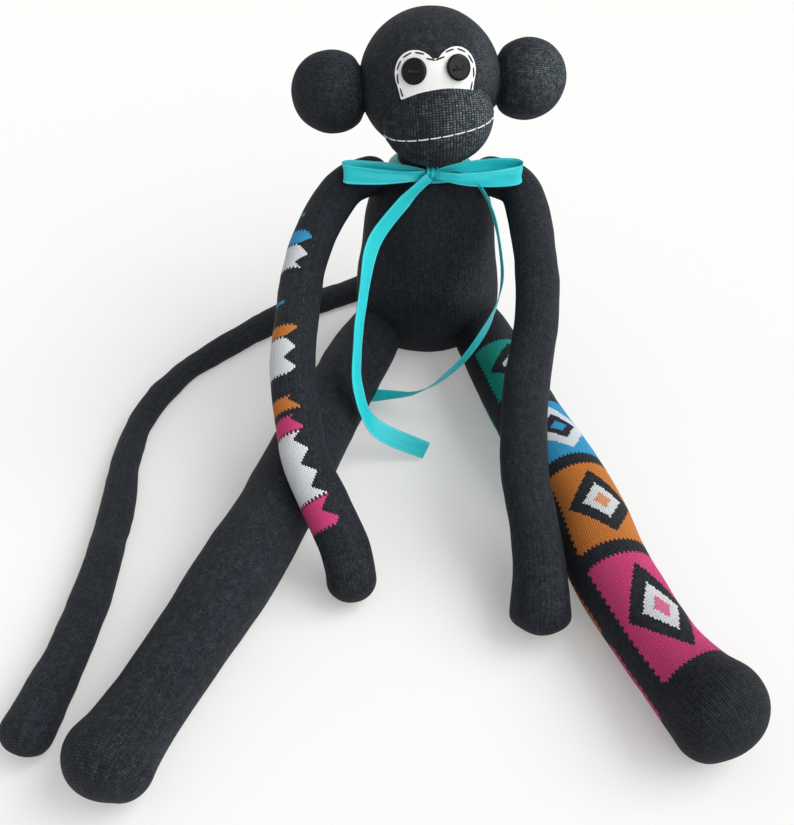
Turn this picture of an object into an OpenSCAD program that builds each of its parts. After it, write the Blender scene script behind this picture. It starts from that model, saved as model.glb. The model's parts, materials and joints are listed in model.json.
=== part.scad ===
// Sock monkey: stuffed knit tubes sewn together, sitting with its legs stretched out, a ribbon at its neck.
// The monkey looks along -Y, sits on Z = 0, and its own right hand is on the -X side.

/* [Body] */
// Width of the body at the belly
body_w = 104; // [92:1:114]
// Depth of the body at the belly, front to back
body_d = 86; // [74:1:98]
// Height of the neck seam above the floor
neck_z = 149; // [140:1:165]
// Diameter of the round neck under the head
neck_d = 40; // [36:1:42]

/* [Head] */
// Diameter of the head
head_d = 88; // [80:1:96]
// Depth that the neck goes into the head
neck_sink = 18; // [16:0.5:20]
// Lean of the head to its right, in degrees
head_lean = 2; // [0:0.5:5]
// Turn of the head to its left, in degrees
head_turn = 5; // [0:0.5:10]
// Extra slant of the sewn face on the head, in degrees
face_slant = 1; // [0:0.5:4]
// Diameter of each ear
ear_d = 51; // [46:1:58]
// Thickness of each ear
ear_t = 38; // [30:1:44]
// Depth of the ear edge sewn onto the head
ear_sink = 8.5; // [6:0.5:10]
// Drop of the ears under the head centre
ear_drop = 2; // [0:0.5:4]

/* [Muzzle] */
// Width of the muzzle
muzzle_w = 71; // [64:1:76]
// Height of the muzzle
muzzle_h = 60; // [54:1:64]
// Reach of the muzzle in front of the head
muzzle_out = 10; // [7:0.5:13]
// Length of the muzzle from front to back
muzzle_l = 68; // [60:1:76]
// Drop of the muzzle centre under the head centre
muzzle_drop = 12; // [9:0.5:14]
// Shift of the muzzle to the monkey's left
muzzle_side = 1.5; // [0:0.25:3]
// Drop of the mouth under the muzzle centre
mouth_drop = 3; // [0:0.5:8]
// Number of mouth stitches
mouth_count = 9; // [5:2:13]
// Slant of the mouth on the muzzle, in degrees
mouth_slant = 6; // [0:0.5:9]

/* [Eyes] */
// Distance between the eye centres
eye_gap = 24.5; // [21:0.5:28]
// Height of the eyes over the head centre
eye_rise = 20.5; // [18:0.5:23]
// Diameter of the buttons
button_d = 15; // [12:0.5:17]
// Thickness of the buttons
button_t = 3.6; // [2.8:0.1:5]
// Diameter of the two sewing holes
hole_d = 2; // [1.6:0.1:2.4]
// Distance between the two sewing holes
hole_gap = 4.4; // [3.6:0.1:5.4]
// Margin of the felt patch round each button
patch_edge = 5; // [4:0.25:6]
// Distance between the centres of the two round lobes of the felt
lobe_gap = 21.5; // [20:0.5:24]
// Drop of the lobe centres under the eyes
lobe_drop = 2.8; // [1:0.2:4]
// Thickness of the felt
felt_t = 1; // [0.8:0.1:1.6]

/* [Arms] */
// Diameter of the arm at the shoulder
arm_root_d = 26; // [22:1:30]
// Diameter of the middle of the arm
arm_d = 27; // [24:1:30]
// Diameter of the right hand
hand_right_d = 28; // [26:1:31]
// Diameter of the left hand
hand_left_d = 33; // [30:1:36]
// Height of the shoulders as a share of the neck height
shoulder_share = 0.92; // [0.9:0.01:0.94]
// Forward reach of the right hand from the shoulder
reach_right = 239; // [220:1:255]
// Forward reach of the left hand from the shoulder
reach_left = 264; // [245:1:275]
// Sideways bow of the right arm at its widest
bow_right = 44; // [41:1:47]
// Sideways bow of the left arm at its widest
bow_left = 25; // [23:1:29]

/* [Legs] */
// Diameter of the leg at the hip
leg_root_d = 40; // [36:1:42]
// Diameter of the middle of the leg
leg_d = 44.5; // [41:0.5:47]
// Diameter of the right ankle
ankle_right_d = 39; // [36:0.5:42]
// Diameter of the left ankle
ankle_left_d = 41.5; // [38:0.5:44]
// Diameter of the right foot
foot_right_d = 44; // [41:0.5:47]
// Diameter of the left foot
foot_left_d = 51; // [48:0.5:53]
// Length of the right leg from hip to foot
leg_right = 350; // [335:1:360]
// Length of the left leg from hip to foot
leg_left = 322; // [305:1:335]
// Spread of the right leg, in degrees
spread_right = 18.6; // [17:0.1:20]
// Spread of the left leg, in degrees
spread_left = 16; // [15:0.1:20]
// Rise of a leg as it swings out: 0 along the floor, 90 straight up, in degrees
leg_lift = 36; // [34:0.5:38]
// Largest swing of a leg out from where it lies, in degrees
leg_swing = 45; // [30:1:45]

/* [Tail] */
// Diameter of the tail
tail_d = 20; // [17:0.5:22]
// Diameter of the tail tip
tail_tip_d = 25.5; // [22:0.5:27]
// Distance of the tail tip in front of the tail seam
tail_reach = 378; // [360:1:390]
// Distance of the tail tip beside the tail seam
tail_side = 196; // [188:1:204]

/* [Ribbon] */
// Width of the ribbon
ribbon_w = 12; // [10:0.5:13]
// Thickness of the ribbon
ribbon_t = 0.5; // [0.4:0.05:0.7]
// Distance from the knot to the end of each loop
loop_l = 56; // [48:1:58]
// Width of the open space inside each loop
loop_gap = 8; // [6:0.5:10]

/* [Cloth] */
// Thickness of the knit cover
wall = 1.2; // [0.9:0.1:1.6]
// Space between two sewn pieces
seam_gap = 0.3; // [0.25:0.01:0.4]
// Radius of the sewing thread
thread_r = 0.4; // [0.3:0.05:0.5]
// Depth that the stuffed pieces flatten on the floor
flat = 0.5; // [0.4:0.05:0.6]

/* [Hidden] */
// Body: height and width of its outline, as shares of the neck height and of the belly width
outline = [[0, 0.48], [0.03, 0.65], [0.09, 0.83], [0.17, 0.95], [0.28, 1], [0.42, 0.97], [0.56, 0.905],
  [0.7, 0.862], [0.8, 0.79], [0.88, 0.702], [0.935, 0.575], [0.975, 0.443]];
// Share of the depth that the front of the seat keeps under the belly, and the height where it is full
seat_front = 0.7;
belly_share = 0.4;
// Radius of the head
head_r = head_d / 2;
// Radius of the neck
neck_r = neck_d / 2;
// Pivot of the head in the middle of the neck
neck_at = [0, 0, neck_z];
// Height of the head centre over the neck pivot
head_up = head_r + neck_r - neck_sink + 2;
// Half sizes of the muzzle
mz = [muzzle_w / 2, muzzle_l / 2, muzzle_h / 2];
// Centre of the muzzle from the head centre
mz_at = [muzzle_side, -(head_r + muzzle_out - muzzle_l / 2), -muzzle_drop];
// Centre of the right ear from the head centre
ear_x = head_r + ear_d / 2 - ear_sink;
// Height of the shoulder
shoulder_z = neck_z * shoulder_share;
// Distance of the shoulder ball from the middle
shoulder_x = body_at(shoulder_z)[0] + arm_root_d * 4 / 13;
// Place of the shoulder ball, front to back
shoulder_y = -arm_root_d * 5 / 26;
// Place of the hip ball
hip = [body_w * 0.3656, -body_d * 0.24, leg_root_d * 0.575];
// Mean spread of the two legs
hip_turn = (spread_right + spread_left) / 2;
// Place of the tail ball
tail_at = [0, body_at(tail_d + 4)[1] + 3.5, tail_d + 4];
// Radius of the gathered neck cap
cap_r = neck_r + seam_gap + wall + 0.2;

// Names of the pieces
// Piece that is made

// Small maths
function unit(v) = v / norm(v);
function flat3(v) = [v[0], v[1], v[2]];
function pick(p, i) = p[max(0, min(len(p) - 1, i))];
function bend(a, b, c, d, t) = 0.5 * (2 * b + (c - a) * t + (2 * a - 5 * b + 4 * c - d) * t * t
  + (3 * b - a - 3 * c + d) * t * t * t);
// Point of the smooth route through the points p, at place s counted in points
function route(p, s) =
  let(i = max(0, min(len(p) - 2, floor(s))))
  bend(pick(p, i - 1), pick(p, i), pick(p, i + 1), pick(p, i + 2), s - i);
function heading(p, s) = unit(flat3(route(p, min(len(p) - 1, s + 0.05)) - route(p, max(0, s - 0.05))));
// Ring of n points round c, across the direction t, lifted to the floor where it would go under
function ring(c, t, r, up, n) =
  let(a = unit(cross(t, up)), b = cross(a, t))
  [for (k = [0:n - 1]) let(q = c + r * (cos((k + 0.5) * 360 / n) * a + sin((k + 0.5) * 360 / n) * b))
    [q[0], q[1], max(0, q[2])]];
// Rings of a stuffed tube with a ball at its root and a round tip; in is how far inside the surface they lie
function tube(p, n, in, up, open) =
  let(e = len(p) - 1, c = route(p, 0), t0 = heading(p, 0), r0 = c[3] - in,
    d = route(p, e), t1 = heading(p, e), r1 = d[3] - in)
  concat(
    [for (f = [open:(90 - open) / 3:89]) ring(flat3(c) - t0 * r0 * cos(f), t0, r0 * sin(f), up, n)],
    [for (s = [0:e]) let(q = route(p, s)) ring(flat3(q), heading(p, s), q[3] - in, up, n)],
    [for (f = [60, 30, 10]) ring(flat3(d) + t1 * r1 * cos(f), t1, r1 * sin(f), up, n)]);

// Faces between two rings that lie one after the other in the list of points
function strip(a, b, n, flip) = [for (k = [0:n - 1]) let(m = (k + 1) % n)
  each flip ? [[a + k, a + m, b + k], [a + m, b + m, b + k]]
    : [[a + k, b + k, a + m], [b + k, b + m, a + m]]];
function lid(a, n, flip) = [for (k = [1:n - 2]) flip ? [a, a + k + 1, a + k] : [a, a + k, a + k + 1]];

// Solid through the rings, closed at both ends
module solid(rings) {
  n = len(rings[0]);
  m = len(rings);
  polyhedron([for (r = rings) each r], concat(
    lid(0, n, true),
    [for (i = [0:m - 2]) each strip(i * n, (i + 1) * n, n, true)],
    lid((m - 1) * n, n, false)));
}

// Cover between an outer and an inner set of rings, open at the first ring
module shell(outer, inner) {
  n = len(outer[0]);
  m = len(outer);
  w = len(inner);
  polyhedron(concat([for (r = outer) each r], [for (r = inner) each r]), concat(
    [for (i = [0:m - 2]) each strip(i * n, (i + 1) * n, n, true)],
    lid((m - 1) * n, n, false),
    [for (i = [0:w - 2]) each strip((m + i) * n, (m + i + 1) * n, n, false)],
    lid((m + w - 1) * n, n, true),
    strip(0, m * n, n, false)));
}

function body_w_at(z) = lookup(z / neck_z, outline);
// Half width and half depth of the body at the height z
function body_at(z) = let(k = body_w_at(z), m = min(1, max(0, z / neck_z - 0.8) * 5))
  [k * body_w / 2, k * (body_d + (body_w - body_d) * m) / 2];
// Ring of half width a, half depth b at the back and c at the front
function oval(z, a, b, c, n) = [for (k = [0:n - 1]) let(f = (k + 0.5) * 360 / n)
  [a * cos(f), (sin(f) < 0 ? c : b) * sin(f), z]];
function front_share(z) = min(1, seat_front + (1 - seat_front) * z / (belly_share * neck_z));
// Rings of the body from the open neck down to the seat
function body_rings(in, n) = concat(
  [for (f = [26, 45, 64, 80]) let(r = neck_r - in, q = r * sin(f)) oval(neck_z + r * cos(f), q, q, q, n)],
  [for (i = [len(outline) - 1:-1:0]) let(z = outline[i][0] * neck_z, b = body_at(z))
    oval(max(z, in), b[0] - in, b[1] - in, b[1] * front_share(z) - in, n)]);

// Arms: share of the reach, share of the drop, share of the bow, from the shoulder ball to the hand
function arm_points(side, reach, bow, hand, marks) = [for (m = marks)
  [side * (shoulder_x + bow * m[2]), shoulder_y - reach * m[0],
    shoulder_z + (hand / 2 - flat - shoulder_z) * m[1],
    (m[0] < 0.1 ? arm_root_d + (arm_d - arm_root_d) * m[0] * 10
      : m[0] > 0.8 ? arm_d + (hand - arm_d) * pow((m[0] - 0.8) / 0.2, 2) : arm_d) / 2]];
right_marks = [[0, 0, 0], [0.054, 0.008, 0.34], [0.124, 0.083, 0.616], [0.228, 0.19, 0.85],
  [0.332, 0.283, 0.945], [0.436, 0.374, 0.98], [0.548, 0.469, 1], [0.664, 0.573, 0.905],
  [0.776, 0.664, 0.77], [0.871, 0.772, 0.5], [0.95, 0.896, 0.25], [1, 1, 0.166]];
left_marks = [[0, 0, 0], [0.049, 0.008, 0.647], [0.114, 0.083, 0.9], [0.208, 0.19, 0.996],
  [0.303, 0.28, 1], [0.398, 0.373, 0.897], [0.492, 0.48, 0.675], [0.606, 0.605, 0.47],
  [0.72, 0.72, 0.4], [0.833, 0.838, 0.53], [0.928, 0.93, 0.58], [1, 1, 0.54]];
arm_right_route = arm_points(-1, reach_right, bow_right, hand_right_d, right_marks);
arm_left_route = arm_points(1, reach_left, bow_left, hand_left_d, left_marks);
arm_up = [0, -0.43, 0.9];

// Legs: share of the length, share of the leg diameter that it is bent inwards, and diameter there
right_leg = [[0, 0, leg_root_d], [0.08, -0.02, leg_root_d * 1.1], [0.3, 0.03, leg_d], [0.55, 0.125, leg_d],
  [0.72, 0.11, leg_d], [0.86, 0.025, ankle_right_d], [0.95, -0.025, ankle_right_d], [1, -0.02, foot_right_d]];
left_leg = [[0, 0, leg_root_d], [0.08, -0.02, leg_root_d * 1.06], [0.3, 0.06, leg_d], [0.55, 0.05, leg_d],
  [0.72, 0.19, leg_d], [0.86, 0.16, ankle_left_d], [0.95, 0.08, ankle_left_d * 1.06], [1, 0, foot_left_d]];
function leg_points(side, l, spread, marks) = [for (m = marks)
  [side * (hip[0] + m[0] * l * sin(spread) - m[1] * leg_d), hip[1] - m[0] * l * cos(spread),
    m[0] == 0 ? hip[2] : m[2] / 2 - flat, m[2] / 2]];
leg_right_route = leg_points(-1, leg_right, spread_right, right_leg);
leg_left_route = leg_points(1, leg_left, spread_left, left_leg);

// Tail: share of the side distance, share of the forward distance and share of the tail diameter
tail_marks = [[0, 0, 0.9], [0.008, -0.028, 1], [0.061, -0.055, 1], [0.162, -0.06, 1],
  [0.332, -0.024, 0.94], [0.524, 0.045, 1], [0.709, 0.139, 0.93], [0.877, 0.238, 0.8],
  [0.974, 0.357, 0.83], [0.994, 0.476, 0.87], [0.97, 0.595, 0.98], [0.959, 0.689, 1.01],
  [0.958, 0.792, 1.08], [0.97, 0.879, 1.1], [1, 1, tail_tip_d / tail_d]];
tail_route = [for (i = [0:len(tail_marks) - 1]) let(m = tail_marks[i], d = tail_d * m[2])
  [-tail_side * m[0], tail_at[1] - tail_reach * m[1],
    i < 4 ? tail_at[2] + (tail_d / 2 - flat - tail_at[2]) * i / 4 : d / 2 - flat, d / 2]];

// Many-sided ball that holds a round ball of the radius r inside it
module pocket(r) {
  n = 10;
  q = r / cos(180 / n) / cos(18);
  solid([for (f = [18:36:162]) [for (k = [0:n - 1])
    q * [sin(f) * cos(k * 360 / n), sin(f) * sin(k * 360 / n), cos(f)]]]);
}
// Way a leg points after a swing of a degrees, and the line it turns on, from the hip into the body
function leg_way(s, a) = cos(a) * [s * sin(hip_turn), -cos(hip_turn), 0]
  + sin(a) * [s * cos(hip_turn) * cos(leg_lift), sin(hip_turn) * cos(leg_lift), sin(leg_lift)];
function hip_line(s) = [-s * cos(hip_turn) * sin(leg_lift), -sin(hip_turn) * sin(leg_lift), cos(leg_lift)];
// Holes in the body for the roots of the limbs, g wider than the limbs
module limb_holes(g) {
  for (s = [-1, 1]) {
    translate([s * shoulder_x, shoulder_y, shoulder_z]) pocket(arm_root_d / 2 + g);
    translate([s * hip[0], hip[1], hip[2]]) hull() {
      pocket(leg_root_d / 2 + g);
      for (a = [0, leg_swing]) translate(leg_way(s, a) * leg_root_d) pocket(leg_d / 2 + g + 0.5);
    }
  }
  translate(tail_at) pocket(tail_d / 2 - 1 + g);
}

// Threads that hold the limbs, each along the line it turns on
module limb_thread(from, to, r) {
  v = to - from;
  translate(from) rotate([0, acos(v[2] / norm(v)), atan2(v[1], v[0])]) cylinder(r = r, h = norm(v));
}
function shoulder_pin(s) = [[s * (shoulder_x - arm_root_d * 23 / 26), shoulder_y, shoulder_z],
  [s * shoulder_x, shoulder_y, shoulder_z]];
function hip_pin(s) = let(p = [s * hip[0], hip[1], hip[2]]) [p + hip_line(s) * leg_root_d * 0.7, p];
// Bar stitch on the body, just over the root of the tail
function tail_pin() = let(p = tail_at + [0, -0.5, tail_d / 2 - 1 + thread_r + 0.5])
  [p - [5, 0, 0], p + [5, 0, 0]];

module body_cover() {
  color([0.07, 0.07, 0.08]) difference() {
    shell(body_rings(0, 14), body_rings(wall, 14));
    limb_holes(seam_gap);
  }
}

module body_filling() {
  bore = thread_r * 1.25;
  color([0.93, 0.92, 0.9]) difference() {
    solid(body_rings(wall + seam_gap, 14));
    limb_holes(seam_gap);
    for (s = [-1, 1]) {
      limb_thread(shoulder_pin(s)[0] - [s, 0, 0], shoulder_pin(s)[1], bore, $fn = 8);
      limb_thread(hip_pin(s)[0] + hip_line(s), hip_pin(s)[1], bore, $fn = 8);
    }
    translate(neck_at) cylinder(r = bore, h = neck_r + 1, $fn = 8);
  }
}

// Gathered knit edge that closes the head over the neck
module neck_gather() {
  color([0.09, 0.09, 0.1]) translate(neck_at) rotate_extrude()
    polygon(concat([for (f = [3:8:59]) cap_r * [sin(f), cos(f)]],
      [for (f = [59:-8:3]) (neck_r + seam_gap) * [sin(f), cos(f)]]));
}

module neck_thread() {
  color([0.05, 0.05, 0.05]) translate(neck_at) cylinder(r = thread_r, h = cap_r);
}

// Head and all that is sewn on it
module on_head() {
  translate(neck_at) rotate([0, -head_lean, head_turn]) translate([0, 0, head_up]) children();
}
module on_face() {
  on_head() rotate([0, -face_slant, 0]) children();
}

module head_cover() {
  color([0.07, 0.07, 0.08]) difference() {
    on_head() difference() {
      sphere(r = head_r);
      sphere(r = head_r - wall);
    }
    translate(neck_at) sphere(r = cap_r + seam_gap);
  }
}

module head_filling() {
  color([0.93, 0.92, 0.9]) difference() {
    on_head() sphere(r = head_r - wall - seam_gap);
    translate(neck_at) sphere(r = cap_r + seam_gap);
  }
}

// Muzzle: the part of an egg that stands out of the head
function egg(a, f, in) = mz_at + [(mz[0] - in) * cos(f) * cos(a), -(mz[1] - in) * sin(f),
  (mz[2] - in) * cos(f) * sin(a)];
// Angle at which the egg leaves a ball of the radius r
function leaves(a, in, r, lo, hi, k) = k == 0 ? (lo + hi) / 2
  : let(m = (lo + hi) / 2)
    norm(egg(a, m, in)) > r ? leaves(a, in, r, lo, m, k - 1) : leaves(a, in, r, m, hi, k - 1);
function rim(a, in, r) = leaves(a, in, r, -30, 89, 16);
function egg_rings(in, r, n) = [for (k = [0, 0.1, 0.22, 0.37, 0.55, 0.75, 0.93])
  [for (i = [0:n - 1]) let(a = -i * 360 / n, f = rim(a, in, r)) egg(a, f + (90 - f) * k, in)]];
// Rings over the head under the muzzle, from the rim to the middle
function under_rings(in, r, n) = [for (k = [0.15, 0.4, 0.65, 0.85])
  [for (i = [0:n - 1]) let(a = -i * 360 / n, q = egg(a, rim(a, in, r), in), c = [mz_at[0], 0, mz_at[2]],
    w = c + ([q[0], 0, q[2]] - c) * k) [w[0], -sqrt(r * r - w[0] * w[0] - w[2] * w[2]), w[2]]]];

muzzle_r = head_r + seam_gap * 2.5;
module muzzle_cover() {
  color([0.07, 0.07, 0.08]) difference() {
    on_face() shell(egg_rings(0, muzzle_r, 16), egg_rings(wall, muzzle_r, 16));
    translate(neck_at) pocket(cap_r + seam_gap);
  }
}

module muzzle_filling() {
  i = wall + seam_gap;
  r = muzzle_r + seam_gap;
  color([0.93, 0.92, 0.9]) difference() {
    on_face() solid(concat(under_rings(i, r, 16), egg_rings(i, r, 16)));
    translate(neck_at) pocket(cap_r + seam_gap);
  }
}

// Straight stitch between two points, with round ends left off
module stitch(a, b) {
  limb_thread(a, b, thread_r);
}

// Stitches at the two sides of the muzzle, beside the felt
module muzzle_stitches() {
  color([0.12, 0.12, 0.13]) on_face() for (s = [-1, 1], i = [0:4]) {
    a = 90 + s * (54 + i * 15);
    f = rim(a, 0, muzzle_r);
    p = egg(a, f, 0);
    q = egg(a, f + 6, -thread_r - 0.25);
    d = unit([p[0] - mz_at[0], 0, p[2] - mz_at[2]]);
    h = unit(p + 2.2 * d) * (head_r + thread_r + 0.4);
    stitch(h, q);
  }
}

// Mouth: a slanting line of back stitches across the muzzle
function mouth_at(x) = let(z = x * tan(mouth_slant) - mouth_drop, o = thread_r + 0.25)
  mz_at + [x, -(mz[1] + o) * sqrt(1 - pow(x / (mz[0] + o), 2) - pow(z / (mz[2] + o), 2)), z];
module mouth_stitches() {
  l = muzzle_w * 0.9 / mouth_count;
  color([0.95, 0.95, 0.94]) on_face() for (i = [0:mouth_count - 1]) {
    x = (i - (mouth_count - 1) / 2) * l;
    m = mouth_at(x);
    d = unit(mouth_at(x + 0.2) - mouth_at(x - 0.2));
    stitch(m - d * l * 0.4, m + d * l * 0.4);
  }
}

// Ears: flattened balls sewn to the sides of the head
module ear_form(in) {
  rotate([90, 0, 0]) rotate_extrude() polygon([for (f = [-90:15:90])
    [max(0, (ear_d / 2 - in) * cos(f)), (ear_t / 2 - in) * sin(f)]]);
}
module ear_cover(s) {
  color([0.07, 0.07, 0.08]) on_head() difference() {
    translate([s * ear_x, 0, -ear_drop]) ear_form(0);
    translate([s * ear_x, 0, -ear_drop]) ear_form(wall);
    sphere(r = head_r + seam_gap);
  }
}
module ear_filling(s) {
  color([0.93, 0.92, 0.9]) on_head() difference() {
    translate([s * ear_x, 0, -ear_drop]) ear_form(wall + seam_gap);
    sphere(r = head_r + seam_gap);
  }
}
module ear_stitches(s) {
  x = head_r - ear_sink * 0.35;
  k = sqrt(1 - pow((ear_x - x) / (ear_d / 2), 2));
  k2 = sqrt(1 - pow((ear_x - head_r - 1) / (ear_d / 2), 2));
  color([0.12, 0.12, 0.13]) on_head() for (a = [15:30:345]) {
    y = 1.35 * k * ear_t / 2 * cos(a);
    z = 1.25 * k * ear_d / 2 * sin(a) - ear_drop;
    r = head_r + thread_r + 0.4;
    stitch([s * sqrt(r * r - y * y - z * z), y, z],
      [s * (head_r + 1), (k2 * ear_t / 2 + 1) * cos(a), (k2 * ear_d / 2 + 1) * sin(a) - ear_drop]);
  }
}

// Felt patch behind the eyes: two round lobes over a tapering skirt that ends at the muzzle
lobe_r = button_d / 2 + patch_edge;
lobe_x = lobe_gap / 2;
lobe_z = eye_rise - lobe_drop;
patch_top = head_r + seam_gap + felt_t;
// Point of the face at x and z on a ball of the radius r round the head centre
function on_ball(x, z, r) = [x, -sqrt(r * r - x * x - z * z), z];
module patch_outline() {
  difference() {
    union() {
      for (s = [-1, 1]) translate([s * lobe_x, lobe_z]) circle(r = lobe_r);
      polygon([[-lobe_x - lobe_r, lobe_z], [-lobe_x - lobe_r + 3, 2], [lobe_x + lobe_r - 3, 2],
        [lobe_x + lobe_r, lobe_z], [0, lobe_z + lobe_r * 0.5]]);
    }
    polygon([for (a = [0:10:350]) let(q = egg(a, rim(a, 0, head_r), 0), m = mz_at[2])
      [mz_at[0] + (q[0] - mz_at[0]) * 1.02, m + (q[2] - m) * 1.02]]);
  }
}
module eye_patch() {
  color([0.94, 0.93, 0.9]) on_face() intersection() {
    difference() {
      sphere(r = patch_top);
      sphere(r = head_r + seam_gap);
    }
    rotate([90, 0, 0]) linear_extrude(height = head_d) patch_outline();
  }
}
// Running stitches a little inside the edge of the felt
module eye_patch_stitches() {
  r = patch_top + thread_r + 0.1;
  e = lobe_r - 1.8;
  color([0.06, 0.06, 0.07]) on_face() for (s = [-1, 1]) {
    for (a = [-22:23:116]) {
      c = [s * lobe_x, lobe_z];
      p = c + e * [s * cos(a), sin(a)];
      q = c + e * [s * cos(a + 13), sin(a + 13)];
      stitch(on_ball(p[0], p[1], r), on_ball(q[0], q[1], r));
    }
  }
}

// Buttons: domed rim, two holes, each square to the felt
module at_eye(s) {
  d = unit(on_ball(s * eye_gap / 2, eye_rise, patch_top));
  on_face() translate(d * (patch_top + 0.15)) rotate([0, acos(d[2]), atan2(d[1], d[0])]) children();
}
module eye_button(s) {
  b = button_d / 2;
  color([0.03, 0.03, 0.03]) at_eye(s) difference() {
    rotate_extrude() polygon([[0, 0], [b - 1, 0], [b - 0.3, 0.5], [b, 1.3], [b - 0.2, 2.1], [b - 0.8, 2.8],
      [b - 1.7, button_t - 0.4], [b - 2.8, button_t - 0.9], [0, button_t - 1]]);
    for (k = [-1, 1]) translate([0, k * hole_gap / 2, -1]) cylinder(d = hole_d, h = button_t + 2);
  }
}
module eye_threads() {
  color([0.1, 0.1, 0.1]) for (s = [-1, 1]) at_eye(s) {
    for (k = [-1, 1]) translate([0, k * hole_gap / 2, 0]) cylinder(r = thread_r * 1.5, h = button_t - 0.2);
    translate([0, -hole_gap / 2, button_t - 0.3]) rotate([-90, 0, 0])
      cylinder(r = thread_r * 1.5, h = hole_gap);
  }
}

// Limbs
module limb_cover(p, n, up, pin) {
  color([0.07, 0.07, 0.08]) difference() {
    shell(tube(p, n, 0, up, 40), tube(p, n, wall, up, 40));
    limb_thread(pin[0], pin[1], thread_r * 1.4, $fn = 6);
  }
}
module limb_filling(p, n, up) {
  i = wall + seam_gap;
  e = len(p) - 1;
  d = route(p, e);
  t = heading(p, e);
  r = [for (f = [0:e]) let(q = route(p, f)) ring(flat3(q), heading(p, f), (q[3] - i) * 0.985, up, n)];
  start = [for (k = [0:n - 1]) r[0][k] * 0.7 + r[1][k] * 0.3];
  color([0.93, 0.92, 0.9]) solid(concat([start], [for (f = [1:e]) r[f]],
    [for (f = [60, 30, 10]) let(w = d[3] - i)
      ring(flat3(d) + t * w * cos(f), t, w * sin(f) * 0.985, up, n)]));
}
module thread_with_knot(pin) {
  v = pin[1] - pin[0];
  k = thread_r * 4;
  color([0.1, 0.1, 0.1]) translate(pin[0]) rotate([0, acos(v[2] / norm(v)), atan2(v[1], v[0])]) rotate_extrude()
    polygon([[0, 0], [thread_r, 0], [thread_r, norm(v) - k], [k, norm(v) - k * 0.4], [k, norm(v) + k * 0.4],
      [thread_r, norm(v) + k], [0, norm(v) + k]]);
}
module tail_thread() {
  color([0.1, 0.1, 0.1]) limb_thread(tail_pin()[0], tail_pin()[1], thread_r);
}
// Seam of the right arm, stitched along its front
module arm_right_stitches() {
  p = arm_right_route;
  color([0.2, 0.2, 0.22]) for (s = [2.6:0.62:9]) {
    t = heading(p, s);
    a = unit(cross(t, arm_up));
    b = cross(a, t);
    d = unit(b - 0.35 * a);
    m = flat3(route(p, s)) + d * (route(p, s)[3] + thread_r + 0.15);
    stitch(m - t * 2, m + t * 2);
  }
}

// Ribbon: a band round the neck, a knot, two loops and two hanging ends
function strip_rings(p, w) = [for (s = [0:0.5:len(p) - 1])
  let(c = flat3(route(p, s)), t = heading(p, s), v = route(w, s),
    f = unit(flat3(v) - t * (t * flat3(v))), g = cross(t, f) * ribbon_t / 2, h = f * v[3] / 2)
  [c - h + g, c + h + g, c + h - g, c - h - g]];
module ribbon_band() {
  z = neck_z * 0.966;
  b = [body_at(z)[0] + 0.5, z];
  v = unit([neck_r + 1 - b[0], neck_z + 3.4 - z]);
  o = [v[1], -v[0]];
  w = ribbon_w * 0.75;
  color([0.1, 0.78, 0.8]) rotate_extrude()
    polygon([b, b + o * ribbon_t, b + v * w + o * ribbon_t, b + v * w]);
}
knot_at = [0, -body_at(neck_z * 0.955)[1] - 6.5, neck_z + 2];
module ribbon_knot() {
  color([0.1, 0.78, 0.8]) translate(knot_at) rotate([0, 90, 0]) rotate_extrude()
    polygon([for (f = [-90:18:90]) [max(0, 3.9 * cos(f)), 4.6 * sin(f)]]);
}
function loop_points(s) = [for (m = [[5.6, 0.1, 0], [17, 0.5, 0.3], [0.62 * loop_l, 0.56, 0.9],
    [loop_l - 4, 0.4, 1], [loop_l, 0, 1], [loop_l - 4, -0.4, 1], [0.62 * loop_l, -0.56, 0.9],
    [17, -0.5, 0.3], [5.6, -0.1, 0]])
  [s * m[0], knot_at[1] - loop_gap * m[1] - 0.5 * m[2], knot_at[2] + 2.2 * m[2]]];
function loop_widths(s) = [for (m = [0.55, 0.8, 1, 1, 1, 1, 1, 0.8, 0.55]) [0, 0.12, 1, ribbon_w * m]];
module ribbon_loop(s) {
  color([0.1, 0.78, 0.8]) solid(strip_rings(loop_points(s), loop_widths(s)));
}
// Hanging ends: points from the knot to the cut end, and the way the ribbon is wide at each
function hang(p) = [for (q = p) [q[0], q[1], q[2] < 30 ? q[2] : q[2] + neck_z - 149]];
end_right = hang([[-3, knot_at[1] - 4.6, 150], [-17, -41, 137], [-36, -56, 117], [-43, -76, 93],
  [-47, -102, 66], [-46, -120, 46], [-35, -127, 22], [-3, -132, 7]]);
wide_right = [[1, 0.2, 0.5, 8], [1, 0.3, 0.7, ribbon_w], [1, 0.2, 0.4, ribbon_w], [1, 0.1, 0.2, ribbon_w],
  [1, 0.3, 0.1, ribbon_w], [0.8, 0.6, 0.2, ribbon_w], [0, 0.8, 0.6, ribbon_w], [0, 0.35, 0.94, ribbon_w]];
end_left = hang([[4, knot_at[1] - 4.6, 148.5], [30, -41, 143], [42, -47, 118], [45.5, -62, 90],
  [35.5, -76, 63], [16.5, -87, 40], [-8, -89, 21], [-31, -80, 12]]);
wide_left = [[0, 0.3, -1, 8], [0, 0.8, -0.6, ribbon_w], [0, 0.82, -0.57, ribbon_w],
  [0, 0.82, -0.57, ribbon_w], [0, 0.82, -0.5, ribbon_w], [0, 0.9, -0.35, ribbon_w],
  [0.1, 0.98, -0.1, ribbon_w], [0.2, 0.95, 0.1, ribbon_w]];
module ribbon_end(p, w) {
  color([0.1, 0.78, 0.8]) solid(strip_rings(p, w));
}
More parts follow.
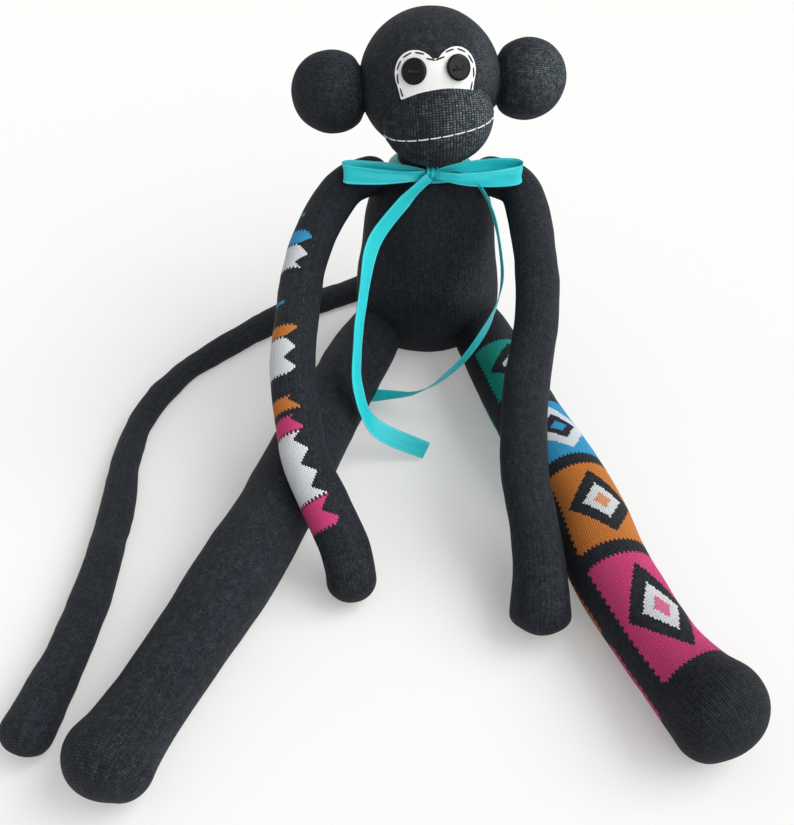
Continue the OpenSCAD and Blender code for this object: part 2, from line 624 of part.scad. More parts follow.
// Pieces that come in pairs or share a form
module ear_right_cover() {
  ear_cover(-1);
}
module ear_right_filling() {
  ear_filling(-1);
}
module ear_right_stitches() {
  ear_stitches(-1);
}
module ear_left_cover() {
  ear_cover(1);
}
module ear_left_filling() {
  ear_filling(1);
}
module ear_left_stitches() {
  ear_stitches(1);
}
module eye_button_right() {
  eye_button(-1);
}
module eye_button_left() {
  eye_button(1);
}
module arm_right_cover() {
  limb_cover(arm_right_route, 10, arm_up, shoulder_pin(-1));
}
module arm_right_filling() {
  limb_filling(arm_right_route, 10, arm_up);
}
module shoulder_thread_right() {
  thread_with_knot(shoulder_pin(-1));
}
module arm_left_cover() {
  limb_cover(arm_left_route, 10, arm_up, shoulder_pin(1));
}
module arm_left_filling() {
  limb_filling(arm_left_route, 10, arm_up);
}
module shoulder_thread_left() {
  thread_with_knot(shoulder_pin(1));
}
module leg_right_cover() {
  limb_cover(leg_right_route, 12, [0, 0, 1], hip_pin(-1));
}
module leg_right_filling() {
  limb_filling(leg_right_route, 12, [0, 0, 1]);
}
module hip_thread_right() {
  thread_with_knot(hip_pin(-1));
}
module leg_left_cover() {
  limb_cover(leg_left_route, 12, [0, 0, 1], hip_pin(1));
}
module leg_left_filling() {
  limb_filling(leg_left_route, 12, [0, 0, 1]);
}
module hip_thread_left() {
  thread_with_knot(hip_pin(1));
}
module tail_cover() {
  limb_cover(tail_route, 9, [0, 0, 1], tail_pin());
}
module tail_filling() {
  limb_filling(tail_route, 9, [0, 0, 1]);
}
module ribbon_loop_right() {
  ribbon_loop(-1);
}
module ribbon_loop_left() {
  ribbon_loop(1);
}
module ribbon_tail_right() {
  ribbon_end(end_right, wide_right);
}
module ribbon_tail_left() {
  ribbon_end(end_left, wide_left);
}

body_cover();
body_filling();
neck_gather();
neck_thread();
head_cover();
head_filling();
muzzle_cover();
muzzle_filling();
muzzle_stitches();
mouth_stitches();
ear_right_cover();
ear_right_filling();
ear_right_stitches();
ear_left_cover();
ear_left_filling();
ear_left_stitches();
eye_patch();
eye_patch_stitches();
eye_button_right();
eye_button_left();
eye_threads();
arm_right_cover();
arm_right_filling();
arm_right_stitches();
shoulder_thread_right();
arm_left_cover();
arm_left_filling();
shoulder_thread_left();
leg_right_cover();
leg_right_filling();
hip_thread_right();
leg_left_cover();
leg_left_filling();
hip_thread_left();
tail_cover();
tail_filling();
tail_thread();
ribbon_band();
ribbon_knot();
ribbon_loop_right();
ribbon_loop_left();
ribbon_tail_right();
ribbon_tail_left();
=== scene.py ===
"""A stuffed sock monkey: knit covers, felt, buttons, thread and ribbon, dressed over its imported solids.
Metres, +Z is up, the monkey looks along -Y and its right side is at -X."""

import json
import math

import bmesh
import bpy
import numpy as np
from mathutils import Matrix, Vector, noise
from mathutils.bvhtree import BVHTree


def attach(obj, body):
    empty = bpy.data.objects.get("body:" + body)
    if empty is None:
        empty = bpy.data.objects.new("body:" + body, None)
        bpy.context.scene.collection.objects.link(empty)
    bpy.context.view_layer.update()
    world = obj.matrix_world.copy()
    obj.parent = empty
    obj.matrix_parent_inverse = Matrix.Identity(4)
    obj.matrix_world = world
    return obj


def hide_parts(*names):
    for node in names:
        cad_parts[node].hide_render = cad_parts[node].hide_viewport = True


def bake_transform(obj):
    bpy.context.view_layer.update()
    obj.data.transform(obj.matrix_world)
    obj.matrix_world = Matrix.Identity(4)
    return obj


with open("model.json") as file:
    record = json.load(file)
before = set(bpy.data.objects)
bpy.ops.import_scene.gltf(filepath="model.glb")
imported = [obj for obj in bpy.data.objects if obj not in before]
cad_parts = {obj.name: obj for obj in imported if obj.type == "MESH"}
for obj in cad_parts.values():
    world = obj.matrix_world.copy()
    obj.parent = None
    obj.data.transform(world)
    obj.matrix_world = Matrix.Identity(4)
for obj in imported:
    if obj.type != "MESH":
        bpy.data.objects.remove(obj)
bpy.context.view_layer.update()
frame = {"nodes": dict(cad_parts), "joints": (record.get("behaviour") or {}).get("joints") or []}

# Sizes of the body and the head
MM = 0.001
SIDES = ((-1, "right"), (1, "left"))
JOINTS = {j["name"]: np.array(j["pos_m"]) for j in frame["joints"]}
NECK = JOINTS["neck_turn"]
NECK_R = 20 * MM
BODY_W, BODY_D = 104 * MM, 86 * MM
SEAT_FRONT, BELLY_SHARE = 0.7, 0.4
HEAD_R, HEAD_UP = 44 * MM, 48 * MM
HEAD_MIDDLE, HEAD_HALF = np.zeros(3), np.full(3, HEAD_R)
HEAD_LEAN, HEAD_TURN, FACE_SLANT, MOUTH_SLANT = (math.radians(a) for a in (2, 5, 1, 6))
EAR_D, EAR_T, EAR_X, EAR_DROP = 51 * MM, 38 * MM, 61 * MM, 2 * MM
MUZZLE = np.array([35.5, 34, 30]) * MM
MUZZLE_AT = np.array([1.5, -20, -12]) * MM
MOUTH_SHARE, MOUTH_DROP = 0.91, 3 * MM
EYE_GAP, EYE_RISE = 24.5 * MM, 20.5 * MM
LOBE_R, LOBE_X, LOBE_Z = 12.5 * MM, 10.75 * MM, 17.7 * MM
HEART_Z, NOTCH_RISE = 14 * MM, 0.7 * LOBE_R
SKIRT_Z, SKIRT_TAPER = 5 * MM, 2.5 * MM
FELT_T, FELT_LIFT, HEM = 1 * MM, 0.62 * MM, 1.5 * MM
BUTTON_D, HOLE_R, HOLE_X = 15 * MM, 1 * MM, 2.2 * MM

# Sizes of the limbs
ARM_D, ARM_ROOT_D, HAND_RIGHT_D, HAND_LEFT_D = 27 * MM, 26 * MM, 28 * MM, 33 * MM
REACH_RIGHT, REACH_LEFT, BOW_RIGHT, BOW_LEFT = 239 * MM, 264 * MM, 44 * MM, 25 * MM
ARM_UP, LEG_UP = (0, -0.43, 0.9), (0, 0, 1)
LEG_D, LEG_ROOT_D, ANKLE_RIGHT_D, ANKLE_LEFT_D = 44.5 * MM, 40 * MM, 39 * MM, 41.5 * MM
FOOT_RIGHT_D, FOOT_LEFT_D, LEG_INSIDE = 44 * MM, 51 * MM, 16 * MM
LEG_RIGHT_L, LEG_LEFT_L = 350 * MM, 322 * MM
SPREAD_RIGHT, SPREAD_LEFT = math.radians(18.6), math.radians(16)
TAIL_D, TAIL_REACH, TAIL_SIDE = 20 * MM, 378 * MM, 196 * MM
# How far a limb is pressed flat where it lies on the floor
FLAT = 0.5 * MM

# Sizes of the knit, the thread and the ribbon
WALE, COURSE = 1.25 * MM, 1.1 * MM
BODY_WALES, ARM_WALES, LEG_WALES, TAIL_WALES = 220, 68, 112, 50
# Stitches that one unit of the UV map counts, and the one in the middle of a ball
UV_STITCHES, MIDDLE_STITCH = 100, 200
THREAD_R, FINE_R, SEAM_R = 0.45 * MM, 0.4 * MM, 0.35 * MM
RIBBON_W, RIBBON_T = 12 * MM, 0.4 * MM

# Ways of making
RING_STEP = 4.5 * MM
ARM_ROUND, LEG_ROUND, TAIL_ROUND = 36, 44, 30
POLE, EAR_POLE = math.radians(84), math.radians(86)
ROOT_TURNS, TOE_TURN = np.radians((20, 45, 70)), 0.9
HELD_RINGS, SWELL_FRAMES, SWELL, PRESSURE = 3, 20, 1.2 * MM, 6
FLOOR_GAP = 0.2 * MM
# Looks at the face start this far in front of it, and a seam is found by so many halvings
IN_FRONT = 0.12
HALVINGS = 18

# Colours
BLACK_YARN = (0.0077, 0.0089, 0.0115)
# Pale core of stretched knit, also used as painted highlight on the sides toward the key lamp
PALE_CORE_AND_HIGHLIGHT = (0.26, 0.32, 0.34)
TEAL, BLUE, ORANGE = (0.012, 0.32, 0.26), (0.04, 0.34, 0.62), (0.62, 0.20, 0.035)
MAGENTA, WHITE = (0.64, 0.055, 0.20), (0.74, 0.76, 0.78)
TURQUOISE, TURQUOISE_EDGE = (0.012, 0.62, 0.68), (0.14, 0.80, 0.84)
FELT_WHITE = (0.93, 0.93, 0.92)
BACKDROP = (0.98, 0.98, 0.97)


# Node trees
class Wire:
    """An output of a node, with the sums on values that add Math nodes."""

    def __init__(self, tree, socket):
        self.tree, self.socket = tree, socket

    def sum(self, operation, *values):
        return self.tree.add("ShaderNodeMath", {"operation": operation}, dict(enumerate(values)))

    def __add__(self, other):
        return self.sum("ADD", self, other)

    def __radd__(self, other):
        return self.sum("ADD", other, self)

    def __sub__(self, other):
        return self.sum("SUBTRACT", self, other)

    def __rsub__(self, other):
        return self.sum("SUBTRACT", other, self)

    def __mul__(self, other):
        return self.sum("MULTIPLY", self, other)

    def __rmul__(self, other):
        return self.sum("MULTIPLY", other, self)

    def __truediv__(self, other):
        return self.sum("DIVIDE", self, other)

    def __pow__(self, other):
        return self.sum("POWER", self, other)

    def __gt__(self, other):
        return self.sum("GREATER_THAN", self, other)

    def __lt__(self, other):
        return self.sum("LESS_THAN", self, other)

    def abs(self):
        return self.sum("ABSOLUTE", self)

    def floor(self):
        return self.sum("FLOOR", self)

    def fract(self):
        return self.sum("FRACT", self)

    def least(self, other):
        return self.sum("MINIMUM", self, other)

    def rise(self, low, high):
        """0 below low, 1 above high, smooth between."""
        return self.tree.add("ShaderNodeMapRange", {"interpolation_type": "SMOOTHSTEP", "clamp": True},
                             {"Value": self, "From Min": low, "From Max": high})


class Tree:
    """A node tree that is filled by one method."""

    def __init__(self, nodes):
        self.nodes = nodes

    def add(self, kind, settings=None, sockets=None, out=0):
        """Adds a node, sets it, fills its sockets and gives back one of its outputs."""
        node = self.nodes.nodes.new(kind)
        for name, value in (settings or {}).items():
            setattr(node, name, value)
        for name, value in (sockets or {}).items():
            socket = node.inputs[name]
            if isinstance(value, Wire):
                self.nodes.links.new(value.socket, socket)
            elif isinstance(value, tuple) and len(value) == 3 and socket.type == "RGBA":
                socket.default_value = (*value, 1)
            else:
                socket.default_value = value
        return Wire(self, node.outputs[out]) if node.outputs else node

    def mix(self, share, a, b):
        """Colour a where share is 0, b where it is 1."""
        return self.add("ShaderNodeMix", {"data_type": "RGBA"}, {0: share, 6: a, 7: b}, out=2)


class Finish(Tree):
    """A material with one Principled shader."""

    def __init__(self, name, **constants):
        self.material = bpy.data.materials.new(name)
        self.material.use_nodes = True
        super().__init__(self.material.node_tree)
        self.shader = self.nodes.nodes["Principled BSDF"]
        for socket, value in constants.items():
            self.shader.inputs[socket.replace("_", " ")].default_value = value

    def feed(self, **wires):
        """Links wires to the shader's sockets."""
        for socket, wire in wires.items():
            self.nodes.links.new(wire.socket, self.shader.inputs[socket.replace("_", " ")])

    def bump(self, height, distance, strength=1.0):
        sockets = {"Height": height, "Distance": distance, "Strength": strength}
        self.feed(Normal=self.add("ShaderNodeBump", {}, sockets))

    def map(self, name):
        """The two coordinates of a UV map."""
        uv = self.add("ShaderNodeUVMap", {"uv_map": name})
        parts = self.add("ShaderNodeSeparateXYZ", {}, {0: uv})
        return parts, Wire(self, parts.socket.node.outputs[1])

    def place(self):
        """Object coordinates."""
        return self.add("ShaderNodeTexCoord", out=3)

    def cloud(self, vector, scale, detail=3.0):
        return self.add("ShaderNodeTexNoise", {}, {"Vector": vector, "Scale": scale, "Detail": detail})

    def pair(self, x, y):
        return self.add("ShaderNodeCombineXYZ", {}, {0: x, 1: y})

    def chance(self, vector):
        return self.add("ShaderNodeTexWhiteNoise", {"noise_dimensions": "2D"}, {"Vector": vector})


# Finishes
def knit(name, pull, at=None, reach=0.0, paint=None, toe_from=None, rib=1.0):
    """Stockinette: columns of small V stitches in black yarn, darker in the hollows between them as painted
    shade, with a pale core that shows where it is stretched. Within reach of the place at, the pale dots are
    mostly painted highlight, set on the side toward the key lamp, and partly stretch. The columns stand apart
    by rib, and the toe is ribbed from the course toe_from."""
    f = Finish(name, Roughness=0.6, Specular_IOR_Level=0.1)
    u, v = f.map("knit")
    wale, course = u * UV_STITCHES, v * UV_STITCHES
    across = (wale.fract() - 0.5).abs()
    rising = course + across * 1.2
    leg = 1 - across.rise(0.2, 0.5) * rib
    row = 1 - (rising.fract() - 0.5).abs() * 2
    height = leg * (0.3 + row * 0.7)
    spot = f.place()
    each = f.chance(f.pair(wale.floor(), rising.floor()))
    column = f.chance(f.pair(wale.floor(), 3.5))
    tone = (0.5 + each * 0.75) * (0.88 + column * 0.24) * (0.6 + f.cloud(spot, 45, 3) * 0.8)
    # Darker in the hollows between stitches: painted shade; the tone that differs at random is the yarn's own
    hollow_shade_and_tone = (0.25 + height * 0.95) * tone
    if toe_from:
        toe = course.rise(toe_from - 12, toe_from + 12)
        ridge = ((wale * 0.5).fract() * 2 - 1).abs()
        height = height * (1 - toe * 0.35) + toe * ridge * 0.35
        # In the toe the hollows between the ribs get painted shade too
        hollow_shade_and_tone = hollow_shade_and_tone * (1 - toe * 0.3 + toe * ridge * 0.3)
    black = f.mix(hollow_shade_and_tone.least(1), (0.0015, 0.0015, 0.002), tuple(3 * c for c in BLACK_YARN))
    colour = paint(f, wale, course, black, height) if paint else black
    # Pale core where the knit is stretched; near the place at it is mostly painted highlight of the key lamp
    stretch_and_highlight = f.cloud(f.pair(u * 5, v * 4), 6.0, 3.0).rise(0.42, 0.72) * pull * 0.5
    if at:
        far = f.add("ShaderNodeVectorMath", {"operation": "DISTANCE"}, {0: spot, 1: at}, out=1)
        stretch_and_highlight = stretch_and_highlight + (1 - (far / reach).rise(0.15, 1)) * pull
    # Pale dots on the stitch tops: partly stretched core, partly painted highlight
    pale_dots = (row * leg).rise(0.25, 0.9) * (0.2 + each * 0.8)
    f.feed(Base_Color=f.mix((pale_dots * stretch_and_highlight).least(1), colour, PALE_CORE_AND_HIGHLIGHT), Roughness=0.72 - height * 0.14)
    f.bump(height, 0.45 * MM, 0.8)
    return f.material


def diamond(wale, course, at, size):
    """Stepped diamond of whole stitches."""
    return ((wale.floor() - at[0]).abs() / size[0] + (course.floor() - at[1]).abs() / size[1]) < 1


def panel(wale, course, wales, courses, tooth):
    """Block of stitches whose edges are toothed by one stitch, its ends only where tooth is 1."""
    teeth = (wale.floor() * 0.5).fract() * 2 * tooth
    steps = ((course * 0.5).floor() * 0.5).fract() * 2
    inside = ((course.floor() - teeth) > courses[0]) * ((course.floor() + teeth) < courses[1])
    return inside * ((wale.floor() - steps) > wales[0]) * ((wale.floor() + steps) < wales[1])


def yarn_share_with_hollow_shade(height):
    """Share of a coloured yarn, less in the hollows between its stitches, where the black mixed in is painted
    shade.
    """
    return (0.62 + height * 0.45).least(1)


def leg_paint(f, wale, course, black, height):
    """Coloured blocks down the leg, in each of them stepped diamonds one in another."""
    # light: share of coloured yarn, with painted shade in the hollows between stitches
    light = yarn_share_with_hollow_shade(height)
    colour = black
    last = 284
    rows = ((TEAL, black, WHITE, 35, 86), (BLUE, WHITE, black, 98, 146),
            (ORANGE, black, WHITE, 152, 208), (MAGENTA, black, WHITE, 214, 280))
    for (low_wale, high_wale), shift in (((9, 51), 0), ((68, 110), 30)):
        middle, half_wales = (low_wale + high_wale) / 2, (high_wale - low_wale) / 2
        for yarn, outer, inner, low, high in rows:
            low, high = low + shift, min(high + shift, last)
            half = (high - low) / 2
            block = panel(wale, course, (low_wale, high_wale), (low, high), 1)
            colour = f.mix(block * light, colour, yarn)
            for share, paint in ((0.78, outer), (0.44, inner), (0.2, yarn)):
                shape = diamond(wale, course, (middle, low + half), (share * half_wales, share * half))
                colour = f.mix(shape * (1 if paint is black else light), colour, paint)
    return colour


def arm_paint(f, wale, course, black, height):
    """Narrow toothed blocks down the outer side of the arm, with a zigzag edge in front."""
    # light: share of coloured yarn, with painted shade in the hollows between stitches
    light = yarn_share_with_hollow_shade(height)
    side = ((wale / ARM_WALES + 0.5).fract() * ARM_WALES).floor()
    colour = black
    blocks = ((TEAL, 49, 52), (BLUE, 61, 72), (WHITE, 71, 88), (BLUE, 107, 110), (ORANGE, 123, 132),
              (WHITE, 131, 154), (ORANGE, 165, 175), (MAGENTA, 177, 188), (WHITE, 187, 222),
              (MAGENTA, 221, 237))
    zigzag = (((course / 12).fract() - 0.5).abs() * 12).floor()
    for yarn, low, high in blocks:
        thin = high - low < 5
        block = panel(side, course, (18, 45 if thin else 54), (low, high), 0 if thin else 1)
        colour = f.mix(block * (1 if thin else (side + zigzag) < 53) * light, colour, yarn)
    return colour


def woven():
    """Ribbon: fine cross threads, two pale edge threads, a soft shine."""
    f = Finish("ribbon_weave", Roughness=0.42, Specular_IOR_Level=0.45, Sheen_Weight=0.2, Sheen_Roughness=0.3)
    u, v = f.map("weave")
    rib = (v * 1600).fract() - 0.5
    warp = (u * 26).fract() - 0.5
    edge = ((u - 0.5).abs() - 0.43).abs()
    line = 1 - edge.rise(0.012, 0.03)
    tone = f.cloud(f.place(), 60)
    weave = 1 - rib.abs() * 1.2 - warp.abs() * 0.5
    base = f.mix(0.25 + tone * 0.5 + weave * 0.25, tuple(0.72 * c for c in TURQUOISE), TURQUOISE)
    f.feed(Base_Color=f.mix(line * 0.7, base, TURQUOISE_EDGE), Roughness=0.34 + tone * 0.2)
    f.bump(weave + line * 1.5, 0.12 * MM, 0.6)
    return f.material


def felt():
    """White pressed felt with short fibres."""
    f = Finish("felt_white", Roughness=0.95, Specular_IOR_Level=0.15, Sheen_Weight=0.25, Sheen_Roughness=0.6)
    spot = f.place()
    fibre, soft = f.cloud(spot, 2600, 5), f.cloud(spot, 260, 4)
    f.feed(Base_Color=f.mix(fibre * 0.5 + soft * 0.5, tuple(0.82 * c for c in FELT_WHITE), FELT_WHITE))
    f.bump(fibre + soft, 0.25 * MM, 0.6)
    return f.material


def polish():
    """Black button resin with faint wear."""
    f = Finish("button_black", Roughness=0.2, Specular_IOR_Level=0.16)
    scuff = f.cloud(f.place(), 900, 6)
    resin = f.mix(scuff, (0.002, 0.002, 0.0025), (0.006, 0.006, 0.006))
    f.feed(Base_Color=resin, Roughness=0.08 + scuff * 0.1)
    return f.material


def thread(name, dark, light):
    """Twisted sewing thread."""
    f = Finish(name, Roughness=0.7, Specular_IOR_Level=0.2, Sheen_Weight=0.05)
    ply = f.cloud(f.place(), 3000, 2)
    f.feed(Base_Color=f.mix(ply, dark, light))
    f.bump(ply, 0.1 * MM)
    return f.material


def gathered_edge():
    """The raw edge of the knit, drawn together at the neck."""
    f = Finish("knit_gather", Roughness=0.9)
    f.feed(Base_Color=f.mix(f.cloud(f.place(), 700), (0.005, 0.005, 0.006), (0.03, 0.031, 0.035)))
    return f.material


# Meshes
def unit(v):
    return v / np.linalg.norm(v, axis=-1, keepdims=True)


def moved(points, matrix):
    return points @ np.array(matrix.to_3x3()).T + np.array(matrix.translation)


def linked(name, mesh):
    """A new piece with the mesh."""
    piece = bpy.data.objects.new(name, mesh)
    bpy.context.collection.objects.link(piece)
    return piece


def points_of(mesh):
    co = np.empty(len(mesh.vertices) * 3)
    mesh.vertices.foreach_get("co", co)
    return co.reshape(-1, 3)


def set_points(mesh, co):
    mesh.vertices.foreach_set("co", np.asarray(co, float).ravel())
    mesh.update()


def baked(piece):
    """Puts the piece's modifiers into its mesh."""
    bpy.context.view_layer.update()
    mesh = bpy.data.meshes.new_from_object(piece.evaluated_get(bpy.context.evaluated_depsgraph_get()))
    piece.modifiers.clear()
    piece.data = mesh
    mesh.name = piece.name


def shaded(piece, sharp_from=None):
    """Smooth shading, except across edges that turn by more than sharp_from."""
    piece.data.polygons.foreach_set("use_smooth", [True] * len(piece.data.polygons))
    if sharp_from:
        piece.data.set_sharp_from_angle(angle=sharp_from)


def settle(piece, node, carrier):
    """Hides the solid that a piece stands for, and attaches the piece to the body that it moves with."""
    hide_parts(node)
    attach(piece, carrier)


# Covers
def smooth_route(points, step):
    """Even rows along the smooth line through the points, and the distance to each from the start."""
    p = np.array(points, float)
    ends = np.vstack([p[:1], p, p[-1:]])
    t = np.linspace(0, 1, 24, endpoint=False)[:, None]
    rows = []
    for a, b, c, d in (ends[i:i + 4] for i in range(len(p) - 1)):
        square, cube = 2 * a - 5 * b + 4 * c - d, 3 * b - a - 3 * c + d
        rows.append(0.5 * (2 * b + (c - a) * t + square * t ** 2 + cube * t ** 3))
    rows = np.vstack(rows + [p[-1:]])
    far = np.concatenate([[0], np.cumsum(np.linalg.norm(np.diff(rows[:, :3], axis=0), axis=1))])
    even = np.linspace(0, far[-1], max(2, round(far[-1] / step)) + 1)
    return np.column_stack([np.interp(even, far, column) for column in rows.T]), even


def tube_rings(points, up, around, blunt):
    """Rings of a stuffed tube and their distances along it: a ball at the root, a toe that turns under."""
    line, far = smooth_route(points, RING_STEP)
    centre, radius = line[:, :3], line[:, 3]
    ahead = unit(np.gradient(centre, axis=0))
    a = unit(np.cross(ahead, up))
    b = np.cross(a, ahead)
    angle = 2 * np.pi * np.arange(around) / around
    spoke = np.cos(angle)[:, None, None] * a + np.sin(angle)[:, None, None] * b
    rings = [centre[0] - ahead[0] * radius[0] * math.cos(f) + spoke[:, 0] * radius[0] * math.sin(f)
             for f in ROOT_TURNS]
    places = [-radius[0] * (math.pi / 2 - f) for f in ROOT_TURNS]
    rings += [centre[i] + spoke[:, i] * radius[i] for i in range(len(line))]
    places += list(far)
    for share in np.linspace(0, 1, 9)[1:]:
        f = POLE * share
        turn = Matrix.Rotation(-TOE_TURN * share * share, 3, Vector(a[-1]))
        ring = ahead[-1] * radius[-1] * blunt * math.sin(f) + spoke[:, -1] * radius[-1] * math.cos(f)
        rings.append(centre[-1] + ring @ np.array(turn).T)
        places.append(far[-1] + radius[-1] * f)
    return np.array(rings), np.array(places)


def stitch_grid(wales, courses, around):
    """Wale and course of each corner of a tube's rings."""
    wale = np.broadcast_to(wales * np.arange(around + 1) / around, (len(courses), around + 1))
    return np.dstack([wale, np.broadcast_to(courses[:, None], wale.shape)])


def skin(name, rings, stitches):
    """Closed mesh over the rings. stitches gives the wale and the course of each corner, one column more
    than the rings have points."""
    m, n = rings.shape[:2]
    ends = [rings[0].mean(0), rings[-1].mean(0)]
    faces, corners = [], []
    for i in range(m - 1):
        for k in range(n):
            j = (k + 1) % n
            faces.append((i * n + k, (i + 1) * n + k, (i + 1) * n + j, i * n + j))
            corners += [stitches[i, k], stitches[i + 1, k], stitches[i + 1, k + 1], stitches[i, k + 1]]
    for k in range(n):
        j = (k + 1) % n
        faces.append((m * n, k, j))
        corners += [(stitches[0, k] + stitches[0, k + 1]) / 2, stitches[0, k], stitches[0, k + 1]]
        faces.append((m * n + 1, (m - 1) * n + j, (m - 1) * n + k))
        corners += [(stitches[-1, k] + stitches[-1, k + 1]) / 2, stitches[-1, k + 1], stitches[-1, k]]
    mesh = bpy.data.meshes.new(name)
    mesh.from_pydata(np.vstack([rings.reshape(-1, 3), ends]).tolist(), [], faces)
    mesh.uv_layers.new(name="knit").data.foreach_set("uv", (np.array(corners) / UV_STITCHES).ravel())
    return linked(name, mesh)


def stuff(piece, around):
    """Swells a cover with Cloth and its inner pressure. Its root is held, and no point moves beyond SWELL."""
    before = points_of(piece.data)
    group = piece.vertex_groups.new(name="held")
    group.add(list(range(around * HELD_RINGS)) + [len(before) - 2], 1.0, "REPLACE")
    cloth = piece.modifiers.new("Stuffing", "CLOTH")
    cloth.settings.vertex_group_mass = group.name
    cloth.settings.quality = 6
    cloth.settings.mass = 0.12
    cloth.settings.tension_stiffness = cloth.settings.compression_stiffness = 12
    cloth.settings.bending_stiffness = 0.3
    cloth.settings.use_pressure = True
    cloth.settings.uniform_pressure_force = PRESSURE
    cloth.settings.effector_weights.gravity = 0
    cloth.collision_settings.use_collision = False
    cloth.point_cache.frame_start, cloth.point_cache.frame_end = 1, SWELL_FRAMES
    scene = bpy.context.scene
    for number in range(1, SWELL_FRAMES + 1):
        scene.frame_set(number)
    after = points_of(piece.evaluated_get(bpy.context.evaluated_depsgraph_get()).data)
    piece.modifiers.remove(cloth)
    scene.frame_set(1)
    move = after - before
    length = np.linalg.norm(move, axis=1, keepdims=True)
    set_points(piece.data, before + move * np.minimum(1, SWELL / np.maximum(length, 1e-9)))


def cover(name, rings, stitches, lump, lump_size, seed, tuck=None):
    """A stuffed knit cover: swollen by Cloth, made finer, then lumpy as loose filling is."""
    piece = skin(name, rings, stitches)
    stuff(piece, rings.shape[1])
    finer = piece.modifiers.new("Finer", "SUBSURF")
    finer.levels = finer.render_levels = 2
    finer.boundary_smooth = "PRESERVE_CORNERS"
    baked(piece)
    co = points_of(piece.data)
    out = np.array([v.normal for v in piece.data.vertices])
    coarse, fine = Vector((seed, 2 * seed, 5)), Vector((7, seed, seed))
    bumps = np.array([noise.noise(Vector(p / lump_size) + coarse) +
                      0.45 * noise.noise(Vector(p / lump_size * 2.3) + fine) for p in co])
    co = co + out * (bumps * lump)[:, None]
    if tuck:
        co = co - out * tuck(co)[:, None]
    co[:, 2] = np.maximum(co[:, 2], FLOOR_GAP)
    set_points(piece.data, co)
    shaded(piece)
    return piece


def valley(matrix, centre, half, depth, width):
    """How deep a cover is pulled in where another one, an egg, is sewn to it."""
    back = np.array(matrix.inverted())

    def pull(co):
        local = (co @ back[:3, :3].T + back[:3, 3] - centre) / half
        away = (np.linalg.norm(local, axis=1) - 1) * np.mean(half)
        return depth * np.exp(-(away / width) ** 2)
    return pull


def dress(piece, word, material):
    """Gives a cover its knit, and hides its solid and the filling in it."""
    piece.data.materials.append(material)
    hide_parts(word + "_cover", word + "_filling")
    return piece


# Stitches
def stitch_tree():
    """Geometry Nodes: stitches one after another along a line of edges, their ends bent into the cloth."""
    group = bpy.data.node_groups.new("Stitches along a line", "GeometryNodeTree")
    face = group.interface
    face.new_socket("Geometry", in_out="INPUT", socket_type="NodeSocketGeometry")
    for name in ("Stitch length", "Gap", "Thread radius", "Arch"):
        face.new_socket(name, in_out="INPUT", socket_type="NodeSocketFloat")
    face.new_socket("Thread", in_out="INPUT", socket_type="NodeSocketMaterial")
    face.new_socket("Geometry", in_out="OUTPUT", socket_type="NodeSocketGeometry")
    t = Tree(group)
    given = t.add("NodeGroupInput").socket.node
    line, length, gap, radius, arch, yarn = (Wire(t, s) for s in list(given.outputs)[:6])
    curve = t.add("GeometryNodeMeshToCurve", {}, {"Mesh": line})
    dots = t.add("GeometryNodeResampleCurve", {"mode": "LENGTH"}, {"Curve": curve, "Length": length + gap})
    ahead = t.add("GeometryNodeInputTangent")
    out = t.add("GeometryNodeInputNamedAttribute", {"data_type": "FLOAT_VECTOR"}, {"Name": "out"})
    turn = t.add("FunctionNodeAxesToRotation", {"primary_axis": "X", "secondary_axis": "Z"},
                 {"Primary Axis": ahead, "Secondary Axis": out})
    half = length * 0.5
    start = t.add("ShaderNodeCombineXYZ", {}, {0: half * -1})
    end = t.add("ShaderNodeCombineXYZ", {}, {0: half})
    stitch = t.add("GeometryNodeCurvePrimitiveLine", {}, {"Start": start, "End": end})
    stitch = t.add("GeometryNodeResampleCurve", {"mode": "COUNT"}, {"Curve": stitch, "Count": 7})
    share = t.add("GeometryNodeSplineParameter")
    dip = (share * 2 - 1) ** 2
    lift = t.add("ShaderNodeCombineXYZ", {}, {2: arch * (1 - dip) - arch})
    stitch = t.add("GeometryNodeSetPosition", {}, {"Geometry": stitch, "Offset": lift})
    circle = t.add("GeometryNodeCurvePrimitiveCircle", {}, {"Resolution": 8, "Radius": radius})
    tube = t.add("GeometryNodeCurveToMesh", {},
                 {"Curve": stitch, "Profile Curve": circle, "Fill Caps": True})
    many = t.add("GeometryNodeInstanceOnPoints", {}, {"Points": dots, "Instance": tube, "Rotation": turn})
    real = t.add("GeometryNodeRealizeInstances", {}, {"Geometry": many})
    done = t.add("GeometryNodeSetMaterial", {}, {"Geometry": real, "Material": yarn})
    t.add("NodeGroupOutput", {}, {0: done})
    return group


STITCHES = stitch_tree()


def sewn(name, paths, yarn, length, gap, radius, arch):
    """Stitches along paths. Each is a list of points with the directions away from the cloth there."""
    points, ways, edges = [], [], []
    for path in paths:
        first = len(points)
        points += [tuple(place) for place, _ in path]
        ways += [tuple(out) for _, out in path]
        edges += [(first + i, first + i + 1) for i in range(len(path) - 1)]
    mesh = bpy.data.meshes.new(name)
    mesh.from_pydata(points, edges, [])
    mesh.attributes.new("out", "FLOAT_VECTOR", "POINT").data.foreach_set("vector", np.array(ways).ravel())
    piece = linked(name, mesh)
    sewing = piece.modifiers.new("Stitches", "NODES")
    sewing.node_group = STITCHES
    given = {i.name: i.identifier for i in STITCHES.interface.items_tree if i.in_out == "INPUT"}
    for key, value in (("Stitch length", length), ("Gap", gap), ("Thread radius", radius), ("Arch", arch),
                       ("Thread", yarn)):
        sewing[given[key]] = value
    baked(piece)
    shaded(piece)
    return piece


